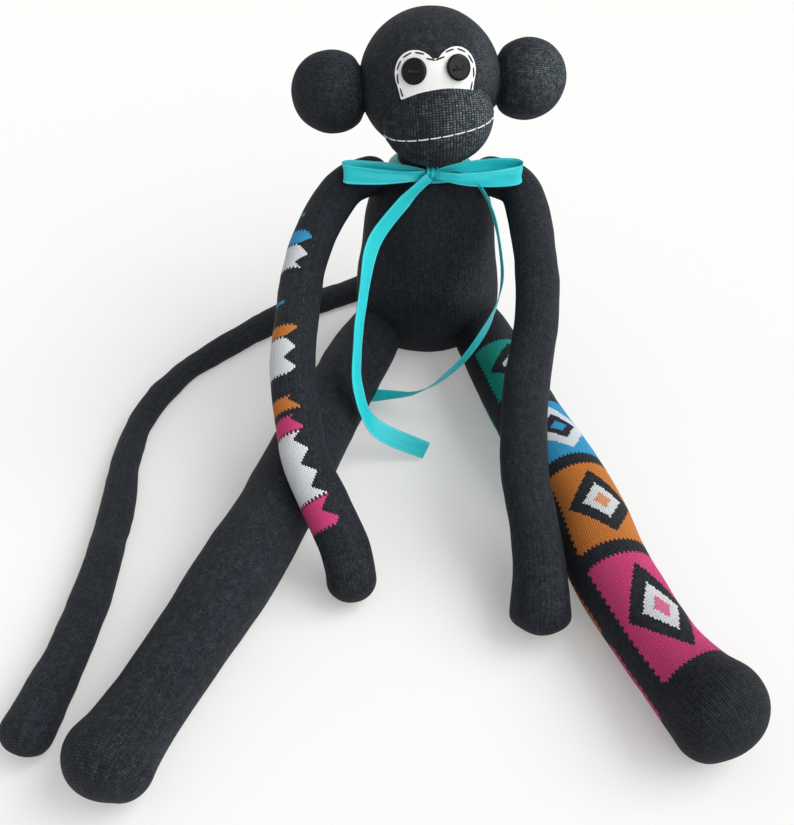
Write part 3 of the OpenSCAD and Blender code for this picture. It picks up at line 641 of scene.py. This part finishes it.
def surface(piece):
    """Finds where a look from one point towards another meets the piece, and the way out of it there."""
    tree = BVHTree.FromObject(piece, bpy.context.evaluated_depsgraph_get())

    def hit(origin, towards, lift):
        place, normal = tree.ray_cast(Vector(origin), (Vector(towards) - Vector(origin)).normalized())[:2]
        if place is None:
            return None
        return np.array(place + normal * lift), np.array(normal)
    return hit


# Limbs, body and head
def head_matrix(slant):
    """From the middle of the head to the world."""
    return (Matrix.Translation(Vector(NECK)) @ Matrix.Rotation(HEAD_TURN, 4, "Z")
            @ Matrix.Rotation(-HEAD_LEAN, 4, "Y") @ Matrix.Translation((0, 0, HEAD_UP))
            @ Matrix.Rotation(-slant, 4, "Y"))


HEAD_AT, FACE_AT = head_matrix(0), head_matrix(FACE_SLANT)


def limb(name, points, up, around, wales, inside=0.0, blunt=0.85, **looks):
    """Stuffed tube whose stitches are counted from where it leaves the body."""
    rings, far = tube_rings(points, np.array(up, float), around, blunt)
    return cover(name, rings, stitch_grid(wales, (far - inside) / COURSE, around), **looks)


def arm_points(side, joint, reach, bow, hand, marks):
    """Points and radii of an arm. A mark is a share of the reach, of the drop to the floor and of the outward
    bow. The arm gets its full width over its first tenth, and widens to the hand over its last fifth."""
    x, y, z = JOINTS[joint]
    rows = []
    for along, drop, out in marks:
        if along < 0.1:
            d = ARM_ROOT_D + (ARM_D - ARM_ROOT_D) * along * 10
        else:
            d = ARM_D + (hand - ARM_D) * (max(0, along - 0.8) / 0.2) ** 2
        rows.append((x + side * bow * out, y - reach * along, z + (hand / 2 - FLAT - z) * drop, d / 2))
    return rows


def leg_points(side, joint, length, spread, marks):
    """Points and radii of a leg on the floor. A mark is a share of the length, an inward bend as a share of
    the leg's diameter, and a diameter. The leg starts inside the body."""
    x, y, z = JOINTS[joint]
    across, ahead = math.sin(spread), math.cos(spread)
    rows = [(x - side * across * LEG_INSIDE, y + ahead * LEG_INSIDE, z, 0.44 * LEG_ROOT_D)]
    for along, inward, d in marks:
        out = along * length * across - inward * LEG_D
        height = z if along == 0 else d / 2 - FLAT
        rows.append((x + side * out, y - along * length * ahead, height, d / 2))
    return rows


def tail_points(marks):
    """Points and radii of the tail. A mark is a share of the way out, of the way ahead and of the diameter.
    The tail comes down to the floor over its first four marks."""
    _, y, z = JOINTS["tail_swing"]
    rows = []
    for i, (out, ahead, share) in enumerate(marks):
        d = TAIL_D * share
        height = z + (TAIL_D / 2 - FLAT - z) * i / 4 if i < 4 else d / 2 - FLAT
        rows.append((-TAIL_SIDE * out, y - TAIL_REACH * ahead, height, d / 2))
    return rows


def ball(name, matrix, centre, half, around, rows, full=1.0, stitch=1.0, **looks):
    """Stuffed ball with its poles left and right and its stitches stitch times as large. Below 1, full makes
    it flatter in front, with steeper sides."""
    tilt = np.linspace(-POLE, POLE, rows)
    angle = 2 * np.pi * np.arange(around) / around
    across = np.broadcast_to(np.sin(tilt)[:, None], (rows, around))
    ahead = np.cos(tilt)[:, None] * np.cos(angle)
    high = np.cos(tilt)[:, None] * np.sin(angle)
    rings = np.dstack([across, -np.sign(ahead) * np.abs(ahead) ** full, high]) * half + centre
    size = float(np.mean(half))
    courses = np.round(2 * np.pi * size / (COURSE * stitch))
    wale = np.broadcast_to((tilt * size / (WALE * stitch) + MIDDLE_STITCH)[:, None], (rows, around + 1))
    course = np.broadcast_to(courses * np.arange(around + 1) / around, wale.shape)
    return cover(name, moved(rings, matrix), np.dstack([wale, course]), **looks)


def ear_middle(side):
    return np.array([side * EAR_X, 0, -EAR_DROP])


def ear(name, side, around, rows, **looks):
    """Flattened ball of two round pieces that meet at the rim."""
    tilt = np.linspace(-EAR_POLE, EAR_POLE, rows)
    angle = 2 * np.pi * np.arange(around + 1) / around
    r, y = EAR_D / 2 * np.cos(tilt), EAR_T / 2 * np.sin(tilt)
    rings = np.dstack([r[:, None] * np.cos(angle[:-1]), np.broadcast_to(y[:, None], (rows, around)),
                       r[:, None] * np.sin(angle[:-1])]) + ear_middle(side)
    arc = np.concatenate([[0], np.cumsum(np.hypot(np.diff(r), np.diff(y)))]) + r[0]
    out = np.minimum(arc, arc[-1] + r[-1] - arc)[:, None]
    wale, course = out * np.cos(angle) / WALE, out * np.sin(angle) / COURSE
    return cover(name, moved(rings, HEAD_AT), MIDDLE_STITCH + np.dstack([wale, course]), **looks)


def body(around, **looks):
    """Pear of knit from the gathered neck down to the flat seat. The outline gives shares of the height and
    of the width. Over its upper fifth the pear turns round, and below the belly its front draws back."""
    outline = ((0.975, 0.443), (0.935, 0.575), (0.88, 0.702), (0.8, 0.79), (0.7, 0.862), (0.56, 0.905),
               (0.42, 0.97), (0.28, 1), (0.17, 0.95), (0.09, 0.83), (0.03, 0.65), (0, 0.48))
    rows = [(NECK_R * math.sin(f), NECK_R * math.sin(f), NECK[2] + NECK_R * math.cos(f))
            for f in np.radians((12, 30, 50, 70))]
    for share, width in outline:
        round_neck = min(1, max(0, share - 0.8) * 5)
        depth = BODY_D + (BODY_W - BODY_D) * round_neck
        rows.append((width * BODY_W / 2, width * depth / 2, share * NECK[2]))
    line, far = smooth_route(rows, RING_STEP)
    angle = 2 * np.pi * np.arange(around) / around
    front = np.minimum(1, SEAT_FRONT + (1 - SEAT_FRONT) * line[:, 2:] / (BELLY_SHARE * NECK[2]))
    deep = np.where(np.sin(angle) < 0, front, 1) * line[:, 1:2]
    rings = np.dstack([line[:, :1] * np.cos(angle), deep * np.sin(angle),
                       np.broadcast_to(line[:, 2:], (len(line), around))])
    return cover("body_knit", rings, stitch_grid(BODY_WALES, far / COURSE, around), **looks)


# Face
def on_face(hit, x, z, lift):
    """Where a look from straight in front of the face, at x and z, meets a surface."""
    return hit(FACE_AT @ Vector((x, -IN_FRONT, z)), FACE_AT @ Vector((x, 0, z)), lift)


def ear_seam(side):
    """Path on the head where an ear meets it."""
    path = []
    half = np.array([EAR_D, EAR_T, EAR_D]) / 2
    for angle in np.linspace(0, 2 * np.pi, 72):
        near, far = 0.0, EAR_D / 2
        for _ in range(HALVINGS):
            r = (near + far) / 2
            deep = side * math.sqrt(HEAD_R ** 2 - r * r)
            place = np.array([deep, r * math.cos(angle), r * math.sin(angle)])
            from_ear = (place - ear_middle(side)) / half
            near, far = (r, far) if np.linalg.norm(from_ear) < 1 else (near, r)
        way = np.array(HEAD_AT.to_3x3() @ Vector(unit(unit(place) + unit(from_ear / half))))
        path.append((np.array(HEAD_AT @ Vector(place)) - way * 0.3 * MM, way))
    return path


def muzzle_seam(on_head, on_muzzle, angles):
    """Path round the muzzle where it meets the head: inside it the muzzle lies in front of the head."""
    path = []
    for angle in angles:
        way = np.array([math.cos(angle), math.sin(angle)])
        near, far = 0.0, 50 * MM
        for _ in range(HALVINGS):
            r = (near + far) / 2
            x, z = MUZZLE_AT[::2] + r * way
            start = FACE_AT @ Vector((x, -IN_FRONT, z))
            a, b = on_face(on_head, x, z, 0), on_face(on_muzzle, x, z, 0)
            in_front = b and (not a or np.linalg.norm(b[0] - start) < np.linalg.norm(a[0] - start))
            near, far = (r, far) if in_front else (near, r)
        path.append(on_face(on_muzzle, *(MUZZLE_AT[::2] + near * way), 0.3 * MM))
    return path


def mouth_path(on_muzzle):
    """Path across the muzzle, a little slanted, with its ends lower than its middle."""
    path = []
    for x in np.linspace(-MOUTH_SHARE, MOUTH_SHARE, 60) * MUZZLE[0]:
        drop = MOUTH_DROP * (0.2 + 0.8 * (x / MUZZLE[0]) ** 2)
        aim = Vector(MUZZLE_AT) + Vector((x, 0, x * math.tan(MOUTH_SLANT) - drop))
        path.append(on_muzzle(FACE_AT @ (aim + Vector((0, -0.1, 0))), FACE_AT @ aim, 0.25 * MM))
    return path


def patch_edge(count, inset=0.0):
    """Outline of the felt, seen from the front: two round lobes over a skirt that goes under the muzzle."""
    heart = np.array([0, HEART_Z])
    lobes = [np.array([s * LOBE_X, LOBE_Z]) for s in (-1, 1)]
    side = LOBE_X + LOBE_R
    corners = np.array([(-side, LOBE_Z), (-side + SKIRT_TAPER, SKIRT_Z), (side - SKIRT_TAPER, SKIRT_Z),
                        (side, LOBE_Z), (0, LOBE_Z + NOTCH_RISE)])
    edge = []
    for angle in np.linspace(-np.pi / 2, 1.5 * np.pi, count, endpoint=False):
        way = np.array([math.cos(angle), math.sin(angle)])
        far = 0.0
        for a, b in zip(corners, np.roll(corners, -1, axis=0)):
            step = np.column_stack([way, a - b])
            if abs(np.linalg.det(step)) > 1e-12:
                t, share = np.linalg.solve(step, a - heart)
                if t > 0 and -1e-9 <= share <= 1 + 1e-9:
                    far = max(far, t)
        for lobe in lobes:
            along = way @ (lobe - heart)
            room = LOBE_R ** 2 - (lobe - heart) @ (lobe - heart) + along ** 2
            if room > 0 and along > 0:
                far = max(far, along + math.sqrt(room))
        edge.append(heart + way * (far - inset))
    return heart, np.array(edge)


def felt_patch(on_head, material):
    """Sheet of felt that lies on the head behind the eyes, its flat size and its flat area."""
    heart, edge = patch_edge(96)
    rows = [heart + (edge - heart) * share for share in (1, 0.97, 0.9, 0.78, 0.62, 0.45, 0.27, 0.1)]
    points = [tuple(on_face(on_head, x, z, FELT_LIFT)[0]) for row in rows for x, z in row]
    n = len(edge)
    faces = [(i * n + k, i * n + (k + 1) % n, (i + 1) * n + (k + 1) % n, (i + 1) * n + k)
             for i in range(len(rows) - 1) for k in range(n)]
    faces.append(tuple(range((len(rows) - 1) * n, len(rows) * n)))
    mesh = bpy.data.meshes.new("eye_felt")
    mesh.from_pydata(points, [], faces)
    piece = linked("eye_felt", mesh)
    thick = piece.modifiers.new("Thickness", "SOLIDIFY")
    thick.thickness, thick.offset = FELT_T, 0
    soft = piece.modifiers.new("Soft edge", "BEVEL")
    soft.width, soft.segments = 0.3 * MM, 2
    soft.limit_method, soft.angle_limit = "ANGLE", math.radians(50)
    baked(piece)
    shaded(piece)
    piece.data.materials.append(material)
    x, z = edge.T
    area = 0.5 * abs(np.sum(x * np.roll(z, -1) - z * np.roll(x, -1)))
    width, height = np.ptp(edge, axis=0)
    return piece, (float(width), float(height)), float(area)


def button(name, place, out, material):
    """Round button with a raised rim, a shallow dish and two holes. Its outline goes from the middle of its
    back over the rim, in millimetres in from the rim and up, to the middle of its front."""
    rim = ((1.2, 0), (0.4, 0.35), (0, 1.2), (0.15, 2.0), (0.6, 2.6), (1.3, 2.92), (2.0, 2.9), (3.2, 2.72),
           (4.6, 2.62))
    profile = [(0, 0), *((BUTTON_D / 2 - inset * MM, z * MM) for inset, z in rim), (0, 2.58 * MM)]
    shape = bmesh.new()
    rows = [shape.verts.new((x, 0, z)) for x, z in profile]
    edges = [shape.edges.new(pair) for pair in zip(rows, rows[1:])]
    bmesh.ops.spin(shape, geom=rows + edges, axis=(0, 0, 1), cent=(0, 0, 0), steps=64, angle=2 * math.pi)
    bmesh.ops.remove_doubles(shape, verts=shape.verts, dist=1e-6)
    bmesh.ops.recalc_face_normals(shape, faces=shape.faces)
    mesh = bpy.data.meshes.new(name)
    shape.to_mesh(mesh)
    shape.free()
    piece = linked(name, mesh)
    drills = []
    for side in (-1, 1):
        bpy.ops.mesh.primitive_cylinder_add(vertices=20, radius=HOLE_R, depth=12 * MM,
                                            location=(side * HOLE_X, 0, 2 * MM))
        drills.append(bpy.context.object)
        hole = piece.modifiers.new("Hole", "BOOLEAN")
        hole.object, hole.operation, hole.solver = drills[-1], "DIFFERENCE", "EXACT"
    baked(piece)
    for drill in drills:
        bpy.data.objects.remove(drill)
    across = np.cross((0, 0, 1), out)
    turn = Matrix((unit(across), unit(np.cross(out, across)), unit(np.array(out)))).transposed().to_4x4()
    piece.data.transform(Matrix.Translation(Vector(place)) @ turn)
    piece.data.materials.clear()
    piece.data.materials.append(material)
    shaded(piece, math.radians(40))
    return piece


# Ribbon
def ribbon(name, points, material, cup, wave, seed, pleat=0.0):
    """Strip of ribbon and its length. Its points have seven numbers: a place in millimetres, the way it is
    wide there, and its width."""
    rows, far = smooth_route(np.array(points, float) * MM, 2 * MM)
    centre = rows[:, :3]
    ahead = unit(np.gradient(centre, axis=0))
    wide = unit(rows[:, 3:6] - ahead * np.sum(ahead * rows[:, 3:6], axis=1, keepdims=True))
    out = np.cross(ahead, wide)
    n = 17
    share = np.linspace(-0.5, 0.5, n)
    grid = []
    for i in range(len(rows)):
        for q in share:
            ripple = noise.noise(Vector((far[i] * 60, q * 2.5, seed)))
            lift = cup * (1 - 4 * q * q) + wave * ripple + pleat * math.cos(4 * math.pi * q)
            grid.append(tuple(centre[i] + wide[i] * q * rows[i, 6] + out[i] * lift))
    faces, corners = [], []
    for i in range(len(rows) - 1):
        for k in range(n - 1):
            faces.append((i * n + k, (i + 1) * n + k, (i + 1) * n + k + 1, i * n + k + 1))
            corners += [(share[k] + 0.5, far[i]), (share[k] + 0.5, far[i + 1]),
                        (share[k + 1] + 0.5, far[i + 1]), (share[k + 1] + 0.5, far[i])]
    mesh = bpy.data.meshes.new(name)
    mesh.from_pydata(grid, [], faces)
    mesh.uv_layers.new(name="weave").data.foreach_set("uv", np.array(corners).ravel())
    piece = linked(name, mesh)
    thick = piece.modifiers.new("Thickness", "SOLIDIFY")
    thick.thickness, thick.offset = RIBBON_T, 0
    baked(piece)
    shaded(piece, math.radians(60))
    piece.data.materials.append(material)
    return piece, float(far[-1])


# Lines of the limbs
RIGHT_ARM = ((0, 0, 0), (0.054, 0.008, 0.34), (0.124, 0.083, 0.616), (0.228, 0.19, 0.85),
             (0.332, 0.283, 0.945), (0.436, 0.374, 0.98), (0.548, 0.469, 1), (0.664, 0.573, 0.905),
             (0.776, 0.664, 0.77), (0.871, 0.772, 0.5), (0.95, 0.896, 0.25), (1, 1, 0.166))
LEFT_ARM = ((0, 0, 0), (0.049, 0.008, 0.647), (0.114, 0.083, 0.9), (0.208, 0.19, 0.996), (0.303, 0.28, 1),
            (0.398, 0.373, 0.897), (0.492, 0.48, 0.675), (0.606, 0.605, 0.47), (0.72, 0.72, 0.4),
            (0.833, 0.838, 0.53), (0.928, 0.93, 0.58), (1, 1, 0.54))
RIGHT_LEG = ((0, 0, LEG_ROOT_D), (0.08, -0.02, 44 * MM), (0.3, 0.03, LEG_D), (0.55, 0.125, LEG_D),
             (0.72, 0.11, LEG_D), (0.86, 0.025, ANKLE_RIGHT_D), (0.95, -0.025, ANKLE_RIGHT_D),
             (1, -0.02, FOOT_RIGHT_D))
LEFT_LEG = ((0, 0, LEG_ROOT_D), (0.08, -0.02, 42.4 * MM), (0.3, 0.06, LEG_D), (0.55, 0.05, LEG_D),
            (0.72, 0.19, LEG_D), (0.86, 0.16, ANKLE_LEFT_D), (0.95, 0.08, 44 * MM), (1, 0, FOOT_LEFT_D))
TAIL = ((0, 0, 0.9), (0.008, -0.028, 1), (0.061, -0.055, 1), (0.162, -0.06, 1), (0.332, -0.024, 0.94),
        (0.524, 0.045, 1), (0.709, 0.139, 0.93), (0.877, 0.238, 0.8), (0.974, 0.357, 0.83),
        (0.994, 0.476, 0.87), (0.97, 0.595, 0.98), (0.959, 0.689, 1.01), (0.958, 0.792, 1.08),
        (0.97, 0.879, 1.1), (1, 1, 1.275))
right_arm_line = arm_points(-1, "shoulder_right_swing", REACH_RIGHT, BOW_RIGHT, HAND_RIGHT_D, RIGHT_ARM)
left_arm_line = arm_points(1, "shoulder_left_swing", REACH_LEFT, BOW_LEFT, HAND_LEFT_D, LEFT_ARM)
right_leg_line = leg_points(-1, "hip_right_swing", LEG_RIGHT_L, SPREAD_RIGHT, RIGHT_LEG)
left_leg_line = leg_points(1, "hip_left_swing", LEG_LEFT_L, SPREAD_LEFT, LEFT_LEG)

# Body and head
# The pale spots of the belly, head and muzzle sit on their sides toward the key lamp: painted highlight,
# partly stretch
torso = dress(body(around=56, lump=0.9 * MM, lump_size=42 * MM, seed=1), "body",
              knit("knit_body", pull=0.25, at=(0.032, -0.03, 0.07), reach=34 * MM))
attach(torso, "body")
head = dress(
    ball("head_knit", HEAD_AT, HEAD_MIDDLE, HEAD_HALF, around=56, rows=34, lump=0.45 * MM,
         lump_size=38 * MM, seed=2, tuck=valley(FACE_AT, MUZZLE_AT, MUZZLE, depth=1.5 * MM, width=5 * MM)),
    "head", knit("knit_head", pull=0.5, at=tuple(HEAD_AT @ Vector((0.034, -0.022, 0.016))), reach=28 * MM,
                 rib=0.6))
muzzle = dress(
    ball("muzzle_knit", FACE_AT, MUZZLE_AT, MUZZLE, around=48, rows=30, full=0.8, stitch=1.5, lump=0.4 * MM,
         lump_size=30 * MM, seed=3,
         tuck=valley(HEAD_AT, HEAD_MIDDLE, HEAD_HALF, depth=1.2 * MM, width=5 * MM)),
    "muzzle", knit("knit_muzzle", pull=0.85, at=tuple(FACE_AT @ Vector((0.024, -0.046, -0.006))),
                   reach=38 * MM, rib=0.7))
ears = []
for side, word in SIDES:
    # The left ear faces the key lamp: its larger pull and the pale spot toward its outer edge are painted
    # highlight, partly stretch
    pull = 0.12 if side < 0 else 0.7
    highlight_and_pull_at = HEAD_AT @ Vector(ear_middle(side) + (14 * MM, -14 * MM, 8 * MM))
    ears.append(dress(
        ear("ear_%s_knit" % word, side, around=48, rows=24, lump=0.5 * MM, lump_size=24 * MM, seed=4 + side,
            tuck=valley(HEAD_AT, HEAD_MIDDLE, HEAD_HALF, depth=1.5 * MM, width=4 * MM)),
        "ear_" + word, knit("knit_ear_" + word, pull, at=tuple(highlight_and_pull_at), reach=28 * MM, rib=0.5)))
for piece in (head, muzzle, *ears):
    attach(piece, "head")

# Limbs
arm_right = dress(
    limb("arm_right_knit", right_arm_line, ARM_UP, ARM_ROUND, ARM_WALES, lump=0.8 * MM,
         lump_size=24 * MM, seed=8),
    "arm_right", knit("knit_arm_right", pull=0.2, paint=arm_paint, toe_from=245, rib=0.6))
arm_left = dress(
    limb("arm_left_knit", left_arm_line, ARM_UP, ARM_ROUND, ARM_WALES, blunt=0.6, lump=0.7 * MM,
         lump_size=30 * MM, seed=9),
    "arm_left", knit("knit_arm_left", pull=0.3, toe_from=240, rib=0.6))
leg_right = dress(
    limb("leg_right_knit", right_leg_line, LEG_UP, LEG_ROUND, LEG_WALES, LEG_INSIDE, lump=0.9 * MM,
         lump_size=36 * MM, seed=10),
    "leg_right", knit("knit_leg_right", pull=0.35, toe_from=290, rib=0.6))
leg_left = dress(
    limb("leg_left_knit", left_leg_line, LEG_UP, LEG_ROUND, LEG_WALES, LEG_INSIDE, lump=0.9 * MM,
         lump_size=36 * MM, seed=11),
    "leg_left", knit("knit_leg_left", pull=0.15, paint=leg_paint, toe_from=288))
tail = dress(
    limb("tail_knit", tail_points(TAIL), LEG_UP, TAIL_ROUND, TAIL_WALES, lump=0.8 * MM,
         lump_size=20 * MM, seed=12),
    "tail", knit("knit_tail", pull=0.2, toe_from=520, rib=0.6))
for piece, joint, other, way, reach in (
        (arm_right, "shoulder_right_swing", "arm_right", (-0.7, -0.7, 0), 18 * MM),
        (arm_left, "shoulder_left_swing", "arm_left", (0.7, -0.7, 0), 18 * MM),
        (leg_right, "hip_right_swing", "leg_right", (-0.32, -0.95, 0), 26 * MM),
        (leg_left, "hip_left_swing", "leg_left", (0.28, -0.96, 0), 26 * MM),
        (tail, "tail_swing", "tail", (-0.93, 0.37, 0), 18 * MM)):
    tuple(JOINTS[joint] - np.array(way) * 4 * MM)
    tuple(JOINTS[joint] + np.array(way) * reach)
    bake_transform(piece)

# Felt, buttons and stitches of the face
white_thread = thread("thread_white", (0.62, 0.62, 0.60), (0.88, 0.88, 0.86))
black_thread = thread("thread_black", (0.004, 0.004, 0.005), (0.016, 0.016, 0.018))
on_head, on_muzzle = surface(head), surface(muzzle)
patch, patch_flat, patch_area = felt_patch(on_head, felt())
settle(patch, "eye_patch", "head")
shine = polish()
for side, word in SIDES:
    place, out = on_face(on_head, side * EYE_GAP / 2, EYE_RISE, 1.2 * MM)
    eye = button("eye_%s_button" % word, place, out, shine)
    settle(eye, "eye_button_" + word, "head")
rim = [on_face(on_head, x, z, 1.3 * MM) for x, z in patch_edge(120, HEM)[1] if z > 9 * MM]
hem = sewn("eye_felt_stitches", [rim], black_thread, length=5.2 * MM, gap=2.1 * MM, radius=THREAD_R,
           arch=0.5 * MM)
settle(hem, "eye_patch_stitches", "head")
mouth = sewn("mouth_line", [mouth_path(on_muzzle)], white_thread, length=6.2 * MM, gap=0.7 * MM,
             radius=FINE_R, arch=0.4 * MM)
settle(mouth, "mouth_stitches", "head")
cheeks = [muzzle_seam(on_head, on_muzzle, np.radians(part))
          for part in (np.linspace(-30, 40, 40), np.linspace(140, 210, 40))]
seam_size = {"length": 3.2 * MM, "gap": 2.6 * MM, "radius": SEAM_R, "arch": 0.35 * MM}
seam = sewn("muzzle_seam", cheeks, black_thread, **seam_size)
settle(seam, "muzzle_stitches", "head")
for side, word in SIDES:
    seam = sewn("ear_%s_seam" % word, [ear_seam(side)], black_thread, **seam_size)
    settle(seam, "ear_%s_stitches" % word, "head")

# Seam along the front of the right arm, from below the shoulder to above the hand
on_arm = surface(arm_right)
route, _ = smooth_route(right_arm_line, 3 * MM)
ahead = unit(np.gradient(route[:, :3], axis=0))
across = unit(np.cross(ahead, ARM_UP))
front = unit(np.cross(across, ahead) - 0.35 * across)
seam_path = [on_arm(p + f * 0.05, p, 0.2 * MM) for p, f in list(zip(route[:, :3], front))[24:-14]]
dark_thread = thread("thread_dark", (0.012, 0.012, 0.013), (0.05, 0.05, 0.055))
arm_seam = sewn("arm_right_seam", [seam_path], dark_thread, length=3.4 * MM, gap=3.0 * MM, radius=FINE_R,
                arch=0.4 * MM)
settle(arm_seam, "arm_right_stitches", "arm_right")

# Lines of the ribbon, in millimetres
KNOT_Y, KNOT_Z, KNOT_R, KNOT_W = -31.9, 151, 3.7, 6.8
BAND_R, BAND_Z, BAND_W = 24.6, 145.2, 8.6
BAND = [(BAND_R * math.cos(a), BAND_R * math.sin(a), BAND_Z + 0.3 * math.sin(3 * a),
         -0.72 * math.cos(a), -0.72 * math.sin(a), 0.69, BAND_W)
        for a in np.radians(np.linspace(-90, 270, 33))]
WRAP = [(0.4 * math.sin(a), KNOT_Y + KNOT_R * math.cos(a), KNOT_Z + 1 + KNOT_R * math.sin(a),
         1, 0, 0.06, KNOT_W)
        for a in np.radians(np.linspace(0, 372, 25))]
LOOP = ((4, 0.1, 0, 0.45), (17, 0.5, 0.1, 0.6), (34.7, 0.6, 0.4, 0.84), (52, 0.4, 0.8, 1), (56, 0, 0.8, 1),
        (52, -0.4, 0.8, 1), (34.7, -0.6, 0.4, 0.84), (17, -0.5, 0.1, 0.6), (4, -0.1, 0, 0.45))
END_RIGHT = ((-2, KNOT_Y - 4.2, 151, 1, 0.2, 0.5, 6), (-17, -41, 137, 0.8, 0.5, 0.3, 11),
             (-36, -56, 117, 0.7, 0.6, -0.2, 12), (-43, -76, 93, 0.44, 0.65, -0.62, 12),
             (-47, -102, 66, 0.4, 0.65, -0.63, 12), (-46, -120, 46, 0.4, 0.78, -0.3, 12),
             (-35, -127, 22, 0, 0.8, 0.6, 12), (-3, -132, 7, 0, 0.35, 0.94, 12))
END_LEFT = ((3, KNOT_Y + 1, 150, 0, 0.3, -1, 7), (15, -28.5, 149, 0, 0.5, -0.8, 9),
            (28, -33, 146, 0, 0.8, -0.6, 11), (38, -43, 132, 0, 0.82, -0.57, 12),
            (44, -52, 110, 0, 0.82, -0.57, 12), (45.5, -63, 88, 0, 0.82, -0.57, 12),
            (35.5, -76, 63, 0.3, 0.62, -0.72, 12), (16.5, -87, 40, 0.25, 0.62, -0.74, 12),
            (-8, -89, 21, 0.1, 0.8, -0.5, 12), (-38, -80, 11, 0.2, 0.95, 0.1, 12))

# Ribbon pieces
weave = woven()
GATHERED_W = 10 * MM
for name, node, line, cup, wave, seed, pleat, width, held in (
        ("neck_ribbon", "ribbon_band", BAND, 0.3, 0.35, 1, 0, GATHERED_W, "gathered"),
        ("ribbon_knot_wrap", "ribbon_knot", WRAP, -0.5, 0.3, 2, 0.7, GATHERED_W, "gathered"),
        ("ribbon_end_right", "ribbon_tail_right", END_RIGHT, 0.3, 0.5, 5, 0, RIBBON_W, "hung"),
        ("ribbon_end_left", "ribbon_tail_left", END_LEFT, 0.3, 0.5, 6, 0, RIBBON_W, "hung")):
    piece, length = ribbon(name, line, weave, cup * MM, wave * MM, seed, pleat * MM)
    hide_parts(node)
    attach(piece, "body")
for (side, word), sag in zip(SIDES, (0.5, 3.2)):
    line = [(side * x, KNOT_Y - 8 * y - 0.5 * z, KNOT_Z + 2 * z - sag * y, 0, 0.12, 1, 12 * w)
            for x, y, z, w in LOOP]
    piece, length = ribbon("ribbon_loop_%s_strip" % word, line, weave, cup=0.5 * MM, wave=0.6 * MM,
                           seed=3 + side)
    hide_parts("ribbon_loop_" + word)
    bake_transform(piece)

# Pieces kept from the solids
kept = {name: black_thread for name in (
    "eye_threads", "neck_thread", "shoulder_thread_right", "shoulder_thread_left", "hip_thread_right",
    "hip_thread_left", "tail_thread")}
kept["neck_gather"] = gathered_edge()
for name, material in kept.items():
    node = frame["nodes"][name]
    node.data.materials.clear()
    node.data.materials.append(material)


# Floor, light and camera
def seen(tree):
    """1 for rays from the camera and for what shows in gloss and glass."""
    path = tree.add("ShaderNodeLightPath").socket.node.outputs
    direct, glossy, through = (Wire(tree, path["Is %s Ray" % kind])
                               for kind in ("Camera", "Glossy", "Transmission"))
    return (direct + glossy + through).least(1)


bpy.ops.mesh.primitive_plane_add(size=12, location=(0, 0, 0))
floor = bpy.context.object
floor.name = "floor"
paper = Finish("floor_white", Roughness=0.9, Specular_IOR_Level=0.1, Base_Color=(0.87, 0.87, 0.86, 1))
lit = Wire(paper, paper.shader.outputs[0])
glow = paper.add("ShaderNodeEmission", {}, {"Color": BACKDROP, "Strength": 1.0})
both = paper.add("ShaderNodeMixShader", {}, {0: seen(paper) * 0.25, 1: lit, 2: glow})
paper.nodes.links.new(both.socket, paper.nodes.nodes["Material Output"].inputs[0])
floor.data.materials.append(paper.material)

scene = bpy.context.scene
scene.view_settings.view_transform = "Standard"
world = bpy.data.worlds.new("Studio")
scene.world = world
world.use_nodes = True
sky = Tree(world.node_tree)
air = sky.add("ShaderNodeBackground", {}, {"Color": (1, 1, 1), "Strength": 0.42})
backdrop = sky.add("ShaderNodeBackground", {}, {"Color": BACKDROP, "Strength": 1.0})
both = sky.add("ShaderNodeMixShader", {}, {0: seen(sky), 1: air, 2: backdrop})
sky.nodes.links.new(both.socket, sky.nodes.nodes["World Output"].inputs[0])
for name, place, power, wide in (("Key", (0.95, 0.1, 1.0), 1.9, 46), ("Front", (0.75, -0.95, 0.75), 1.7, 60)):
    light = bpy.data.lights.new(name, "SUN")
    light.energy, light.angle = power, math.radians(wide)
    lamp = linked(name, light)
    lamp.location = place
    lamp.rotation_euler = (-Vector(place)).to_track_quat("-Z", "Y").to_euler()

camera = linked("Camera", bpy.data.cameras.new("Camera"))
camera.location = (-0.022, -0.562, 0.400)
camera.rotation_euler = (math.radians(50), 0, 0)
camera.data.sensor_width, camera.data.lens = 36, 39.27
camera.data.clip_start = 0.01
scene.camera = camera
